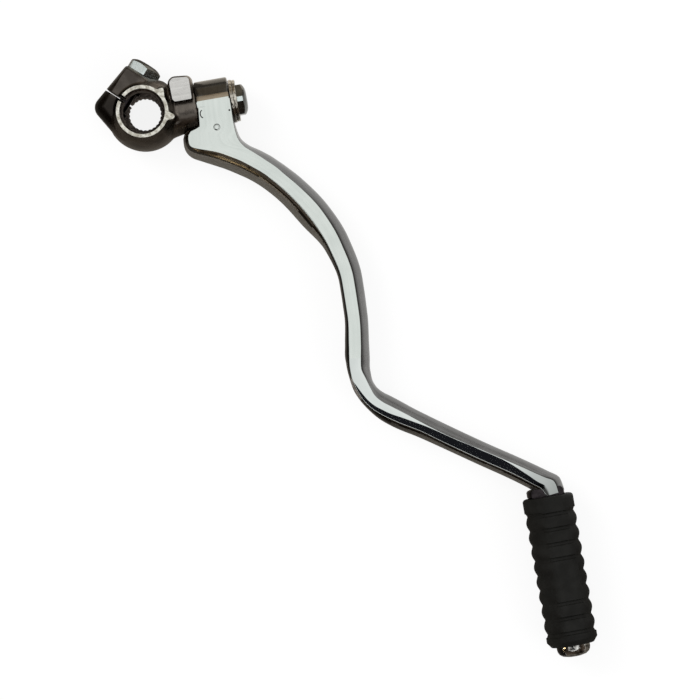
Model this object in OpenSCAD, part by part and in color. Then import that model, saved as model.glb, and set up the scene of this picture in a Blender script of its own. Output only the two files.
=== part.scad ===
// Kick start lever, lying on its back as in the photograph, in millimetres.
// The origin is on the kick shaft bore, at the back face of the boss. Z is the bore axis and points
// away from the engine. X runs along the fold pivot towards the arm. The pedal peg points to -Y.
// Closed is the folded rest pose. The arm swings out about the pivot, from -Y towards +Z.

/* [Kick shaft boss] */
// depth of the boss along the bore
boss_h = 26; // [24:0.5:30]
// widest radius of the boss
boss_r = 16.3; // [15.5:0.1:18]
// how far the rounded front edge leans in
boss_round = 5; // [4:0.1:6]
// height of the widest line
boss_wide_z = 9; // [7:0.5:12]
// spline tip radius of the bore
bore_r = 7; // [6.5:0.1:7.4]
// spline root radius of the bore
bore_root_r = 7.9; // [7.6:0.1:8.2]
// splines round the bore
spline_n = 24; // [18:1:30]
// length of the splines, from the back face
spline_l = 8; // [7:0.5:9]
// radius of the relief in front of the splines
relief_r = 8.9; // [8.4:0.1:9.3]
// radius of the mouth at the front
entry_r = 9.8; // [9.5:0.1:10.3]

/* [Pinch joint] */
// direction of the slit, from X
slit_deg = 138.5; // [134:0.5:142]
// width of the slit
slit_w = 1.7; // [1:0.1:3]
// distance of the pinch bolt from the bore axis
pinch_u = 9.7; // [9.7:0.1:11]
// height of the pinch bolt
pinch_z = 12; // [10:0.5:14]
// seat of the bolt head, measured along the bolt
pinch_seat = 13.8; // [13.2:0.1:14.4]
// far end of the pinch bolt
pinch_end = 12.4; // [11:0.1:13]
// thread radius of both bolts
bolt_r = 4; // [3.8:0.1:4]
// waist of the pinch bolt, which clears the kick shaft
waist_r = 2.6; // [2.3:0.1:2.6]
// length of the waist
waist_l = 9.4; // [9:0.1:11]
// across flats of the pinch bolt head
pinch_af = 14; // [13:0.1:14]
// height of the pinch bolt head
pinch_head = 5.3; // [4.5:0.1:6]

/* [Fold pivot] */
// pivot axis across the bore axis
pivot_y = -1.2; // [-2:0.1:0]
// pivot axis above the back face
pivot_z = 11; // [10.9:0.1:11.5]
// radius of the neck
neck_r = 10.8; // [10.4:0.1:10.8]
// end of the neck, where the hub starts
neck_x = 23; // [22.5:0.1:23.5]
// radius of the pivot post
post_r = 6; // [5.6:0.05:6]
// running clearance of the hub on the post
post_fit = 0.05; // [0.02:0.01:0.08]
// length of the hub along the pivot
hub_l = 14.5; // [14:0.1:16]
// radius of the hub
hub_r = 10.9; // [10.6:0.1:11]
// side clearance of the hub
side_gap = 0.3; // [0.25:0.05:0.5]
// radius of the pivot washer
washer_r = 9.4; // [8.5:0.1:10]
// thickness of the pivot washer
washer_t = 1.5; // [1:0.1:2]
// thickness of the spring washer
lock_t = 1.4; // [1:0.1:2]
// across flats of the pivot bolt head
pivot_af = 13; // [12:0.1:14]
// height of the pivot bolt head
pivot_head = 4.6; // [4:0.1:5.5]
// grip of the pivot bolt in the post
grip_l = 11; // [9:0.5:12]

/* [Stops and detent] */
// how far the arm swings out
open_deg = 58; // [56:0.5:60]
// front face of the stop nose above the pivot axis
nose_front = 10.1; // [9.9:0.1:10.3]
// back face of the stop nose below the pivot axis
nose_back = 8; // [7.5:0.1:8.5]
// room left at both stops
stop_gap = 0.3; // [0.25:0.05:0.4]
// radius of the detent ball
ball_r = 2.5; // [2.3:0.05:2.5]
// distance of the ball from the pivot axis
ball_reach = 9; // [8.8:0.05:9.1]

/* [Arm] */
// thickness of the arm at its waist
arm_t = 12.5; // [11:0.1:14]
// thickness of the lower arm
low_t = 11.2; // [10:0.1:12.5]
// how far the face of the lower arm falls towards its outer edge
face_fall = 0.9; // [0:0.1:1.5]

/* [Peg and rubber] */
// position of the peg axis along X
peg_x = 144.3; // [143:0.1:146]
// top end of the rubber
rubber_top = -193.9; // [-196:0.1:-192]
// length of the rubber
rubber_l = 65.4; // [62:0.1:70]
// outer radius of the rubber
rubber_r = 11.1; // [10.8:0.1:11.4]
// depth of the grooves
groove_d = 1; // [0.6:0.1:1.4]
// plain band at the top of the rubber
band_top = 7.6; // [6:0.1:9]
// distance from rib to rib
rib_pitch = 6.5; // [6:0.1:6.8]
// radius of the peg in the rubber
peg_r = 6.2; // [5.5:0.1:6.8]
// radius of the collar above the rubber
collar_r = 8.75; // [8:0.1:9.5]
// thickness of the collar
collar_t = 3.8; // [3:0.1:5]
// radius of the end button
button_r = 7.3; // [6.9:0.1:8]
// height of the end button
button_h = 5.2; // [4:0.1:6]

/* [Hidden] */
$fn = 64;
ribs = 8;
hub_x = neck_x + side_gap;
post_x = hub_x + hub_l + side_gap;
lock_x = post_x + washer_t;
head_x = lock_x + lock_t;
hole_r = bolt_r + 0.03;
ball_x = hub_x + 1.7;
pocket_r = ball_r + 0.05;
pocket_x = hub_x + hub_l - 2.8;
tap_l = grip_l + 2;
clear_l = 4 * boss_r;
ball_room = 0.3;
facet_y = (nose_front + stop_gap - cos(open_deg) * (boss_h - pivot_z)) / sin(open_deg);

// Catmull-Rom value between rows i and i + 1 of a list, at t from 0 to 1
function blend(a, b, c, d, t) =
    0.5 * (2 * b + (c - a) * t + (2 * a - 5 * b + 4 * c - d) * t * t + (3 * b - a - 3 * c + d) * t * t * t);
function row(list, i) = list[max(0, min(len(list) - 1, i))];
function between(list, i, t) = blend(row(list, i - 1), row(list, i), row(list, i + 1), row(list, i + 2), t);

// Joins rings of points into one closed skin
module skin(rings) {
    n = len(rings[0]);
    m = len(rings);
    sides = [for (i = [0 : m - 2], j = [0 : n - 1])
        each [[(i + 1) * n + (j + 1) % n, (i + 1) * n + j, i * n + j],
              [i * n + (j + 1) % n, (i + 1) * n + (j + 1) % n, i * n + j]]];
    first = [for (j = [1 : n - 2]) [0, j + 1, j]];
    last = [for (j = [1 : n - 2]) [(m - 1) * n, (m - 1) * n + j, (m - 1) * n + j + 1]];
    polyhedron(points = [for (r = rings) each r], faces = concat(sides, first, last), convexity = 8);
}

// Turns a shape drawn along Z so that it lies along the pivot, with Z becoming X
module on_pivot(x = 0) {
    translate([x, pivot_y, pivot_z]) rotate([0, 90, 0]) children();
}

// Turns a shape drawn along Z so that it lies along the pinch bolt, head end up
module on_pinch() {
    rotate([0, 0, slit_deg]) translate([pinch_u, 0, pinch_z]) rotate([90, 0, 0]) children();
}

// Hex head on a seat at Z = 0, its top corners turned off
module hex_head(af, h, turn) {
    intersection() {
        rotate([0, 0, turn]) cylinder(r = af / sqrt(3), h = h, $fn = 6);
        rotate_extrude() polygon([[0, 0], [af * 0.56, 0], [af * 0.6, h * 0.12], [af * 0.6, h * 0.62],
                                  [af * 0.54, h * 0.84], [af * 0.42, h * 0.97], [af * 0.3, h], [0, h]]);
    }
}

// Corners of the clamp ears as seen from the front: X, Y and corner radius
ear_corners = [[-3.5, 19.4, 1.8], [-15.5, 4.9, 5], [-6.5, -4.4, 8], [4.4, 9.2, 4.2]];

module ears() {
    hull() {
        for (c = ear_corners) {
            translate([c[0], c[1], 1]) cylinder(r = c[2] - 0.8, h = boss_h - 4, $fn = 32);
            translate([c[0], c[1], 4]) cylinder(r = c[2], h = boss_h - 10.5, $fn = 32);
            translate([c[0], c[1], 18]) cylinder(r = max(0.4, c[2] - 1.6), h = boss_h - 20, $fn = 32);
        }
    }
}

// Outline of the stop block's flat, narrowing towards the nose
module block_outline(grow) {
    y0 = pivot_y + facet_y;
    hull() {
        translate([15.9, 9.5]) circle(r = 2.2 + grow, $fn = 32);
        translate([20.7, 9.9]) circle(r = 1.3 + grow, $fn = 32);
        translate([21.2, y0 - 2]) circle(r = 0.6 + grow, $fn = 32);
        translate([15.4, 3.2]) circle(r = 1.5 + grow, $fn = 32);
        translate([17, y0 - 2]) circle(r = 1 + grow, $fn = 32);
    }
}

// Runs of the ground front face, towards the neck and towards the bolt head
module face_runs() {
    for (c = [[9.2, -3.2, 12.4, -4.1], [8.2, 5.9, 9.8, 8.0]])
        hull() {
            translate([c[0], c[1], boss_h - 9]) cylinder(r1 = 3.2, r2 = 1.6, h = 9, $fn = 32);
            translate([c[2], c[3], boss_h - 9]) cylinder(r1 = 2.4, r2 = 0.5, h = 9, $fn = 32);
        }
}

module stop_block() {
    difference() {
        hull() {
            translate([0, 0, boss_h - 1.2]) linear_extrude(1.2) block_outline(0);
            translate([0, 0, boss_h - 10]) linear_extrude(5) block_outline(1.1);
        }
        translate([0, pivot_y, pivot_z]) rotate([-open_deg, 0, 0])
            translate([0, -clear_l / 2, nose_front + stop_gap - clear_l]) cube(clear_l);
    }
}

module boss() {
    color("#8d8a86") difference() {
        union() {
            rotate_extrude() polygon(concat([[0, 0], [boss_r - 1, 0], [boss_r - 0.3, 1.2]],
                [for (a = [0 : 10 : 90]) [boss_r - boss_round + boss_round * cos(a),
                    boss_wide_z + (boss_h - boss_wide_z) * sin(a)]],
                [[0, boss_h]]));
            ears();
            stop_block();
            face_runs();
            on_pivot(8) cylinder(r = neck_r, h = neck_x - 9.6);
            on_pivot(8) cylinder(r = neck_r - 0.4, h = neck_x - 8.5);
            on_pivot(neck_x - 1.2) cylinder(r = neck_r + 0.1, h = 1.2);
            intersection() {
                on_pivot(8) cylinder(r1 = 14.2, r2 = neck_r, h = 6.6);
                translate([0, -clear_l / 2, 0.6]) cube([clear_l, clear_l, pivot_z + neck_r - 2]);
            }
            translate([15.4, pivot_y - 13, 0]) cube([6.4, 8, pivot_z - nose_back - stop_gap]);
            on_pivot(neck_x - 1) cylinder(r = post_r, h = post_x - neck_x + 0.4);
            on_pivot(post_x - 0.6) cylinder(r1 = post_r, r2 = post_r - 0.6, h = 0.6);
        }
        translate([0, 0, -1]) cylinder(r = bore_r, h = boss_h + 2);
        for (i = [0 : spline_n - 1])
            rotate([0, 0, i * 360 / spline_n]) translate([0, 0, -1])
                linear_extrude(spline_l + 2) polygon([[bore_r - 1, -0.5], [bore_r, -0.5], [bore_root_r, -0.33],
                    [bore_root_r, 0.33], [bore_r, 0.5], [bore_r - 1, 0.5]]);
        rotate_extrude() polygon([[0, spline_l], [bore_r, spline_l], [relief_r, spline_l + 1.2],
            [relief_r, boss_h - 1.6], [entry_r, boss_h - 0.5], [entry_r, boss_h + 1], [0, boss_h + 1]]);
        rotate([0, 0, slit_deg]) translate([0, -slit_w / 2, -1]) cube([clear_l, slit_w, boss_h + 2]);
        on_pinch() cylinder(r = bolt_r + 0.25, h = clear_l / 2);
        on_pinch() translate([0, 0, -clear_l / 2]) cylinder(r = hole_r, h = clear_l / 2 + 1);
        on_pinch() translate([0, 0, pinch_seat]) cylinder(r = pinch_af * 0.66, h = clear_l / 2);
        on_pivot(post_x - tap_l) cylinder(r = hole_r, h = tap_l + 1);
        on_pivot() rotate([0, 0, -90 - open_deg]) rotate_extrude(angle = open_deg)
            translate([ball_reach, ball_x]) circle(r = ball_r + 0.15);
        for (a = [0, open_deg]) on_pivot(ball_x - ball_room) rotate([0, 0, -90 - a])
            translate([ball_reach, 0, 0]) sphere(r = ball_r + 0.02);
    }
}

module pinch_bolt() {
    color("#a7a7a5") on_pinch() {
        translate([0, 0, pinch_seat]) hex_head(pinch_af, pinch_head, 45);
        translate([0, 0, waist_l / 2]) cylinder(r = bolt_r, h = pinch_seat - waist_l / 2 + 0.1);
        translate([0, 0, -waist_l / 2 - 0.1]) cylinder(r = waist_r, h = waist_l + 0.2);
        translate([0, 0, 0.8 - pinch_end]) cylinder(r = bolt_r, h = pinch_end - waist_l / 2 - 0.8);
        translate([0, 0, -pinch_end]) cylinder(r1 = bolt_r - 0.7, r2 = bolt_r, h = 0.81);
    }
}

// Arm stations from the hub to the peg. Each has X and Y of the outer edge, the outer crease of the face,
// the inner crease and the inner edge, then the height of the face and of the back from the middle.
root = [
    [23.7, 0.4, 24.2, 0.3, 38.1, -0.5, 38.2, -0.4, 10.96, 10.6],
    [22.9, -3.6, 23.6, -4.5, 38.0, -6.2, 38.1, -5.4, 10.8, 10.6],
    [22.6, -7.1, 23.3, -8.0, 37.9, -9.9, 38.0, -9.1, 10.55, 10.6],
    [22.3, -9.4, 22.9, -10.4, 38.0, -13.0, 38.3, -12.3, nose_front, 10.5],
    [20.4, -10.1, 21.0, -11.2, 38.1, -14.9, 38.6, -14.4, nose_front, 10.3],
    [17.2, -10.6, 18.8, -11.8, 38.3, -16.4, 39.0, -16.3, nose_front, 10.0],
    [15.6, -11.9, 17.6, -13.2, 38.5, -17.7, 39.6, -17.9, nose_front, 9.8],
    [14.8, -13.9, 17.2, -14.9, 39.0, -19.3, 40.4, -19.1, nose_front, 9.6],
    [14.6, -17.0, 17.2, -16.9, 39.9, -20.9, 41.6, -20.4, nose_front, 9.5],
    [15.2, -19.8, 18.0, -18.4, 41.3, -22.7, 43.3, -21.9, nose_front, 9.4],
    [17.2, -22.5, 20.8, -19.7, 43.0, -24.2, 45.3, -23.2, nose_front, 9.4],
    [21.2, -24.8, 24.9, -21.1, 44.7, -25.7, 47.2, -24.5, nose_front, 9.4],
    [30.5, -29.7, 33.4, -25.1, 48.6, -29.3, 51.2, -27.6, 10.0, 9.2],
    [40.0, -35.9, 42.0, -31.0, 53.2, -33.7, 56.0, -32.2, 9.5, 8.8]];
bar = [
    [51.8, -47.9, 55.6, -45.1, 59.8, -41.4, 62.1, -38.8, 8.4, 7.8],
    [59.6, -59.9, 63.6, -57.7, 68.8, -54.5, 71.6, -52.3, 7.6, 7.0],
    [67.4, -72.2, 69.3, -71.7, 74.7, -69.7, 78.3, -68.2, 6.9, 6.5],
    [71.0, -87.0, 72.3, -86.9, 77.6, -86.2, 81.3, -85.6, arm_t / 2, arm_t / 2],
    [70.7, -101.6, 72.1, -101.7, 77.3, -102.1, 80.8, -102.3, arm_t / 2, arm_t / 2],
    [68.4, -116.5, 70.1, -116.8, 75.4, -117.6, 78.9, -118.1, arm_t / 2 - 0.1, arm_t / 2 - 0.1],
    [68.3, -129.0, 69.3, -128.9, 75.4, -130.0, 77.9, -130.5, low_t / 2 + 0.4, low_t / 2 + 0.4],
    [70.9, -138.4, 72.2, -138.6, 78.0, -137.8, 81.4, -136.9, low_t / 2 + 0.2, low_t / 2 + 0.2],
    [77.9, -148.2, 78.8, -146.4, 84.2, -143.7, 88.1, -142.0, low_t / 2 + 0.1, low_t / 2 + 0.1],
    [93.5, -159.1, 94.7, -156.7, 98.5, -154.7, 101.7, -152.3, low_t / 2, low_t / 2],
    [115.7, -174.3, 116.8, -172.3, 119.4, -168.8, 121.8, -166.4, low_t / 2, low_t / 2],
    [131.5, -185.1, 132.6, -182.9, 135.4, -179.2, 137.7, -177.0, low_t / 2, low_t / 2],
    [138.4, -190.4, 139.3, -188.1, 144.9, -185.6, 146.9, -183.5, low_t / 2, low_t / 2],
    [140.3, -192.2, 141.5, -189.7, 147.9, -187.4, 150.9, -186.6, low_t / 2, low_t / 2],
    [142.0, -196.1, 143.7, -193.5, 149.2, -192.9, 152.1, -192.4, low_t / 2, low_t / 2]];
drawn_hub = [23.3, 14.5, -1.2];
drawn_peg = [144.3, -193.9];
steps = 5;

// Share of the way from the root to the peg, which carries a changed size into the stations
function share(y) = max(0, min(1, (-y - 35) / 115));
function moved(x, y, far) = let (f = share(y), g = 1 - f, deep = max(0, min(1, -y / 12)))
    [x + g * (hub_x - drawn_hub[0]) + (far ? g * (hub_l - drawn_hub[1]) * (1 - deep) : 0)
        + f * (peg_x - drawn_peg[0]),
     y + g * (pivot_y - drawn_hub[2]) + f * (rubber_top - drawn_peg[1])];

// Section of the arm: a flat face, walls that swell to the widest line, and a rounded back
wall = [[0.14, 0.06], [0.42, 0.21], [0.74, 0.5], [0.97, 0.86], [0.97, 1.2], [0.8, 1.6], [0.45, 1.88], [0.05, 2]];
function side(crease, edge, top, low) =
    [for (w = wall) let (p = crease + (edge - crease) * w[0])
        [p[0], p[1], top + (low - top) * w[1] / 2]];
function section(s) =
    let (f = share(s[3]), mid = pivot_z + f * (rubber_r - pivot_z), fall = face_fall * max(0, min(1, (-s[3] - 137) / 12)),
        lc = moved(s[2], s[3], false), rc = moved(s[4], s[5], true), top = mid + s[8], low = mid - s[9],
        left = side(lc, moved(s[0], s[1], false), top - fall, low),
        right = side(rc, moved(s[6], s[7], true), top, low))
    concat([[lc[0], lc[1], top - fall], [rc[0], rc[1], top]], right,
        [for (i = [len(left) - 1 : -1 : 0]) left[i]]);

module arm_bar() {
    path = concat(root, bar);
    curved = [for (i = [len(root) - 1 : len(path) - 2], k = [0 : steps - 1]) section(between(path, i, k / steps))];
    straight = [for (i = [0 : len(root) - 2]) section(root[i])];
    skin(concat(straight, curved, [section(path[len(path) - 1])]));
}

module lever_arm() {
    color("#b9b7b2") difference() {
        union() {
            arm_bar();
            on_pivot(hub_x) rotate_extrude() polygon([[0, 0], [hub_r - 0.7, 0], [hub_r - 0.2, 0.25], [hub_r, 0.7],
                [hub_r, hub_l - 0.7], [hub_r - 0.2, hub_l - 0.25], [hub_r - 0.7, hub_l], [0, hub_l]]);
            translate([peg_x, rubber_top - rubber_l - button_h, rubber_r]) rotate([-90, 0, 0]) rotate_extrude()
                polygon([[0, 0], [button_r * 0.45, 0.15], [button_r * 0.72, 0.7], [button_r * 0.9, 1.7],
                    [button_r, 3], [button_r, button_h], [peg_r, button_h], [peg_r, button_h + rubber_l],
                    [collar_r - 0.8, button_h + rubber_l], [collar_r, button_h + rubber_l + 0.6],
                    [collar_r, button_h + rubber_l + collar_t - 1],
                    [collar_r - 1.2, button_h + rubber_l + collar_t], [0, button_h + rubber_l + collar_t]]);
        }
        on_pivot(hub_x - hub_l) cylinder(r = neck_r + 0.4, h = hub_l);
        translate([hub_x - hub_l, pivot_y - 26, -1]) cube([hub_l - 0.6, 22, pivot_z - nose_back + 1]);
        on_pivot(hub_x - 1) cylinder(r = post_r + post_fit, h = hub_l + 2);
        on_pivot(hub_x + hub_l + 0.05) cylinder(r = washer_r + 0.6, h = 9);
        on_pivot(hub_x - 1) rotate([0, 0, -90]) translate([ball_reach, 0, 0]) cylinder(r = pocket_r, h = pocket_x - hub_x + 1);
        translate([hub_x + 7.1, pivot_y - 10.7, pivot_z + 11.1]) sphere(r = 1.6);
    }
}

module pedal_rubber() {
    low = rubber_r - groove_d;
    band_end = rubber_l - band_top - ribs * rib_pitch;
    lumps = [for (i = [0 : ribs - 1], a = [0 : 4])
        [low + groove_d * (a == 0 ? 0.15 : sin(a * 36 + 18)), band_end + (i + a / 5 + 0.02) * rib_pitch]];
    color("#1d1d1d") translate([peg_x, rubber_top - rubber_l, rubber_r]) difference() {
        union() {
            rotate([-90, 0, 0]) rotate_extrude() polygon(concat(
                [[0, 0], [low - 0.6, 0], [rubber_r - 0.2, 1.6], [rubber_r, 2.2], [rubber_r, band_end - 0.9],
                 [low, band_end]],
                lumps, [[low, rubber_l - band_top], [rubber_r, rubber_l - band_top + 1], [rubber_r, rubber_l - 1.6],
                 [rubber_r - 0.5, rubber_l - 0.5], [rubber_r - 1.6, rubber_l], [0, rubber_l]]));
            intersection() {
                translate([0, band_end + 3 * rib_pitch + 1.4, 0]) rotate([-90, 0, 0])
                    cylinder(r = rubber_r - 0.06, h = 2 * rib_pitch - 2.8);
                translate([-6, 0, 2]) cube([12, rubber_l, 20]);
            }
        }
        translate([0, -1, 0]) rotate([-90, 0, 0]) cylinder(r = peg_r + 0.04, h = rubber_l + 2);
    }
}

module pivot_bolt() {
    color("#a7a7a5") {
        on_pivot(head_x) hex_head(pivot_af, pivot_head, 10);
        on_pivot(post_x - grip_l) cylinder(r = bolt_r, h = head_x - post_x + grip_l + 0.1);
        on_pivot(post_x - grip_l - 0.8) cylinder(r1 = bolt_r - 0.7, r2 = bolt_r, h = 0.81);
    }
}

module ring(x, r, t) {
    on_pivot(x) rotate_extrude() polygon([[bolt_r + 0.2, 0], [r - 0.25, 0], [r, 0.25], [r, t - 0.25],
        [r - 0.25, t], [bolt_r + 0.2, t]]);
}

module pivot_washer() {
    color("#b0afac") ring(post_x, washer_r, washer_t);
}

module spring_washer() {
    color("#9c9b98") difference() {
        ring(lock_x, washer_r - 0.3, lock_t);
        on_pivot(lock_x - 1) rotate([0, 0, 60]) translate([0, -0.4, 0]) cube([20, 0.8, lock_t + 2]);
    }
}

module detent_ball() {
    color("#c8c8c8") on_pivot(ball_x) rotate([0, 0, -90]) translate([ball_reach, 0, 0]) sphere(r = ball_r);
}

// Coil between the ball and the end of its pocket
module detent_spring() {
    wire = 0.35;
    coil = pocket_r - 0.2 - wire;
    from = ball_x + sqrt(ball_r * ball_r - coil * coil * 0.55) + wire + 0.1;
    to = pocket_x - wire - 0.05;
    turns = 6;
    color("#9a9a98") on_pivot() rotate([0, 0, -90]) translate([ball_reach, 0, 0])
        skin([for (i = [0 : 16 * turns]) let (a = i * 22.5, z = from + (to - from) * i / (16 * turns))
            [for (j = [0 : 5]) [(coil + wire * cos(j * 60)) * cos(a), (coil + wire * cos(j * 60)) * sin(a),
                z + wire * sin(j * 60)]]]);
}

boss();
pinch_bolt();
lever_arm();
pedal_rubber();
pivot_bolt();
pivot_washer();
spring_washer();
detent_ball();
detent_spring();
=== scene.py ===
"""Kick start lever dressed for the studio: forged boss, folding arm, rubber pedal and bolts, in metres."""

import logging
import math
from dataclasses import dataclass, field
from enum import Enum, IntEnum
from functools import partial
from typing import Callable, Iterable, Sequence

import bmesh
import bpy
import numpy as np
from mathutils import Matrix, Vector
from mathutils.kdtree import KDTree


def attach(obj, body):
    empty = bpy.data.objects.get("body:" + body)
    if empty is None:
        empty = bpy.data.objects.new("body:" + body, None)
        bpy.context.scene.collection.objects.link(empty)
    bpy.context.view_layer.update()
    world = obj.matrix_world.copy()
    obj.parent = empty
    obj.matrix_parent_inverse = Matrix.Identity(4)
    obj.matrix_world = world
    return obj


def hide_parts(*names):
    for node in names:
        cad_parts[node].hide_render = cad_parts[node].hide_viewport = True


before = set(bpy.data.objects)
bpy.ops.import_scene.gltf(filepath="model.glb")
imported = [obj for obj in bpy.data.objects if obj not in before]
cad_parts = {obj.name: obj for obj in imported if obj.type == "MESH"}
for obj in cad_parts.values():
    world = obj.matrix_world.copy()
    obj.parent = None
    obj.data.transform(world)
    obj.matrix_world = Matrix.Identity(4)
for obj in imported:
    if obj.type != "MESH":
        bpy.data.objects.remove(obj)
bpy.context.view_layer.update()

log = logging.getLogger("kick_start_lever")
MM = 0.001
Point = tuple[float, float, float]
Value = float | tuple[float, ...] | bpy.types.NodeSocket


class Cut(Enum):
    """How one solid works on another."""

    AWAY = "DIFFERENCE"
    JOINED = "UNION"
    SHARED = "INTERSECT"


class Body(Enum):
    """The groups of the frame that pieces ride on."""

    CLAMP = "clamp"
    ARM = "arm"


# Finishes


class Nodes:
    """Short ways to fill the node tree of a material or of the world."""

    def __init__(self, owner: bpy.types.Material | bpy.types.World, bare: bool = False) -> None:
        """Takes up a node tree.

        Args:
            owner: The material or world.
            bare: Whether the nodes that come with it go first.
        """
        owner.use_nodes = True
        self.tree = owner.node_tree
        if bare:
            self.tree.nodes.clear()

    def feed(self, socket: bpy.types.NodeSocket, value: Value) -> None:
        """Links an input to another socket, or sets its value.

        Args:
            socket: The input.
            value: The other socket or the value.
        """
        if isinstance(value, bpy.types.NodeSocket):
            self.tree.links.new(value, socket)
        else:
            socket.default_value = value

    def put(self, kind: str, inputs: dict[str | int, Value] | None = None, **settings: str) -> bpy.types.Node:
        """Adds a node.

        Args:
            kind: Its type, without "ShaderNode".
            inputs: What its inputs are fed with, by name or number.
            settings: The node's own settings.

        Returns:
            The node.
        """
        node = self.tree.nodes.new("ShaderNode" + kind)
        for name, setting in settings.items():
            setattr(node, name, setting)
        for name, value in (inputs or {}).items():
            self.feed(node.inputs[name], value)
        return node

    def place(self) -> bpy.types.NodeSocket:
        """Gives the place of a point on its object."""
        return self.put("TexCoord").outputs["Object"]

    def noise(self, where: bpy.types.NodeSocket, scale: float, detail: float) -> bpy.types.NodeSocket:
        """Gives a cloudy pattern."""
        return self.put("TexNoise", {"Vector": where, "Scale": scale, "Detail": detail}).outputs["Fac"]

    def bump(self, where: bpy.types.NodeSocket, scale: float, detail: float, strength: float) -> bpy.types.NodeSocket:
        """Gives the normals of a finely uneven surface."""
        height = self.noise(where, scale, detail)
        return self.put("Bump", {"Strength": strength, "Distance": 0.0002, "Height": height}).outputs["Normal"]

    def ramp(self, tone: bpy.types.NodeSocket, *stops: tuple[float, Point]) -> bpy.types.NodeSocket:
        """Turns a pattern into a run between two colours.

        Args:
            tone: The pattern.
            stops: Place and colour of the two ends.

        Returns:
            The colours.
        """
        node = self.put("ValToRGB", {"Fac": tone})
        for stop, (place, colour) in zip(node.color_ramp.elements, stops):
            stop.position, stop.color = place, (*colour, 1)
        return node.outputs["Color"]


@dataclass(frozen=True)
class Metal:
    """A plated or bare metal finish.

    Attributes:
        name: Name of the material.
        tint: Main colour, linear.
        shade: Colour in the darker patches.
        rough: Middle roughness.
        spread: How far the roughness wanders.
        patch: Size of the patches in metres.
        grain: Strength of the fine surface bump.
        grain_size: Size of the bump in metres.
        brushed: Direction of brush lines, or no direction at all.
        flow: Whether the brush lines follow the piece's own lengthwise direction.
        painted_shade: Whether the painted shade marked on the piece's points darkens its colour towards near black.
    """

    name: str
    tint: Point
    shade: Point
    rough: float
    spread: float = 0.04
    patch: float = 0.012
    grain: float = 0.0
    grain_size: float = 0.0006
    brushed: Point | None = None
    flow: bool = False
    painted_shade: bool = False

    def make(self) -> bpy.types.Material:
        """Builds the node material.

        Returns:
            The material.
        """
        mat = bpy.data.materials.new(self.name)
        nodes = Nodes(mat)
        shader = nodes.tree.nodes["Principled BSDF"]
        source = where = nodes.place()
        tone = cloud = nodes.noise(where, 1 / self.patch, 4.0)
        if self.flow:
            own = nodes.put("Attribute", attribute_name="flow")
            source = self.stretch(nodes, own.outputs["Vector"], 0.0)
        elif self.brushed:
            source = self.stretch(nodes, where, -math.atan2(self.brushed[1], self.brushed[0]))
        if self.flow or self.brushed:
            lines = nodes.noise(source, 0.8 / max(self.grain_size, 0.0005), 3.0)
            half = nodes.put("Math", {0: cloud, 1: 0.5}, operation="MULTIPLY").outputs[0]
            tone = nodes.put("Math", {0: lines, 1: 0.5, 2: half}, operation="MULTIPLY_ADD").outputs[0]
        colour = nodes.ramp(tone, (0.36, self.shade), (0.64, self.tint))
        if self.painted_shade:
            colour = self.add_painted_shade(nodes, colour)
        rough = nodes.put("MapRange", {
            "Value": cloud, "From Min": 0.3, "From Max": 0.7,
            "To Min": self.rough - self.spread, "To Max": self.rough + self.spread})
        nodes.feed(shader.inputs["Metallic"], 1.0)
        nodes.feed(shader.inputs["Base Color"], colour)
        nodes.feed(shader.inputs["Roughness"], rough.outputs["Result"])
        if self.grain > 0:
            nodes.feed(shader.inputs["Normal"], nodes.bump(source, 1 / self.grain_size, 3.0, self.grain))
        return mat

    @staticmethod
    def stretch(nodes: Nodes, source: bpy.types.NodeSocket, turn: float) -> bpy.types.NodeSocket:
        """Draws a pattern out into lines, turned about Z by some radians."""
        settings = {"Vector": source, "Rotation": (0, 0, turn), "Scale": (0.05, 1.0, 1.0)}
        return nodes.put("Mapping", settings).outputs["Vector"]

    @staticmethod
    def add_painted_shade(nodes: Nodes, colour: bpy.types.NodeSocket) -> bpy.types.NodeSocket:
        """Darkens a colour towards near black where the piece's points are marked with painted shade, which stands in
        for shade and dark reflections.

        Args:
            nodes: The node tree.
            colour: The colour without the painted shade.

        Returns:
            The colour with the painted shade.
        """
        own = nodes.put("Attribute", attribute_name="painted_shade")
        mix = nodes.put("Mix", data_type="RGBA")
        sockets = {one.identifier: one for one in mix.inputs}
        nodes.feed(sockets["Factor_Float"], own.outputs["Fac"])
        nodes.feed(sockets["A_Color"], colour)
        # Near black of the painted shade.
        nodes.feed(sockets["B_Color"], (0.010, 0.0085, 0.0075, 1))
        return next(one for one in mix.outputs if one.identifier == "Result_Color")


@dataclass(frozen=True)
class Rubber:
    """The moulded rubber of the pedal.

    Attributes:
        name: Name of the material.
        colour: Colour of the clean rubber, linear.
        dusty: Colour where it is rubbed.
        rough: Roughness.
    """

    name: str
    colour: Point
    dusty: Point
    rough: float

    def make(self) -> bpy.types.Material:
        """Builds the node material.

        Returns:
            The material.
        """
        mat = bpy.data.materials.new(self.name)
        nodes = Nodes(mat)
        shader = nodes.tree.nodes["Principled BSDF"]
        where = nodes.place()
        cloud = nodes.noise(where, 160.0, 6.0)
        nodes.feed(shader.inputs["Specular IOR Level"], 0.18)
        nodes.feed(shader.inputs["Base Color"], nodes.ramp(cloud, (0.4, self.colour), (0.75, self.dusty)))
        nodes.feed(shader.inputs["Roughness"], self.rough)
        nodes.feed(shader.inputs["Normal"], nodes.bump(where, 2200.0, 2.0, 0.25))
        return mat


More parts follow.
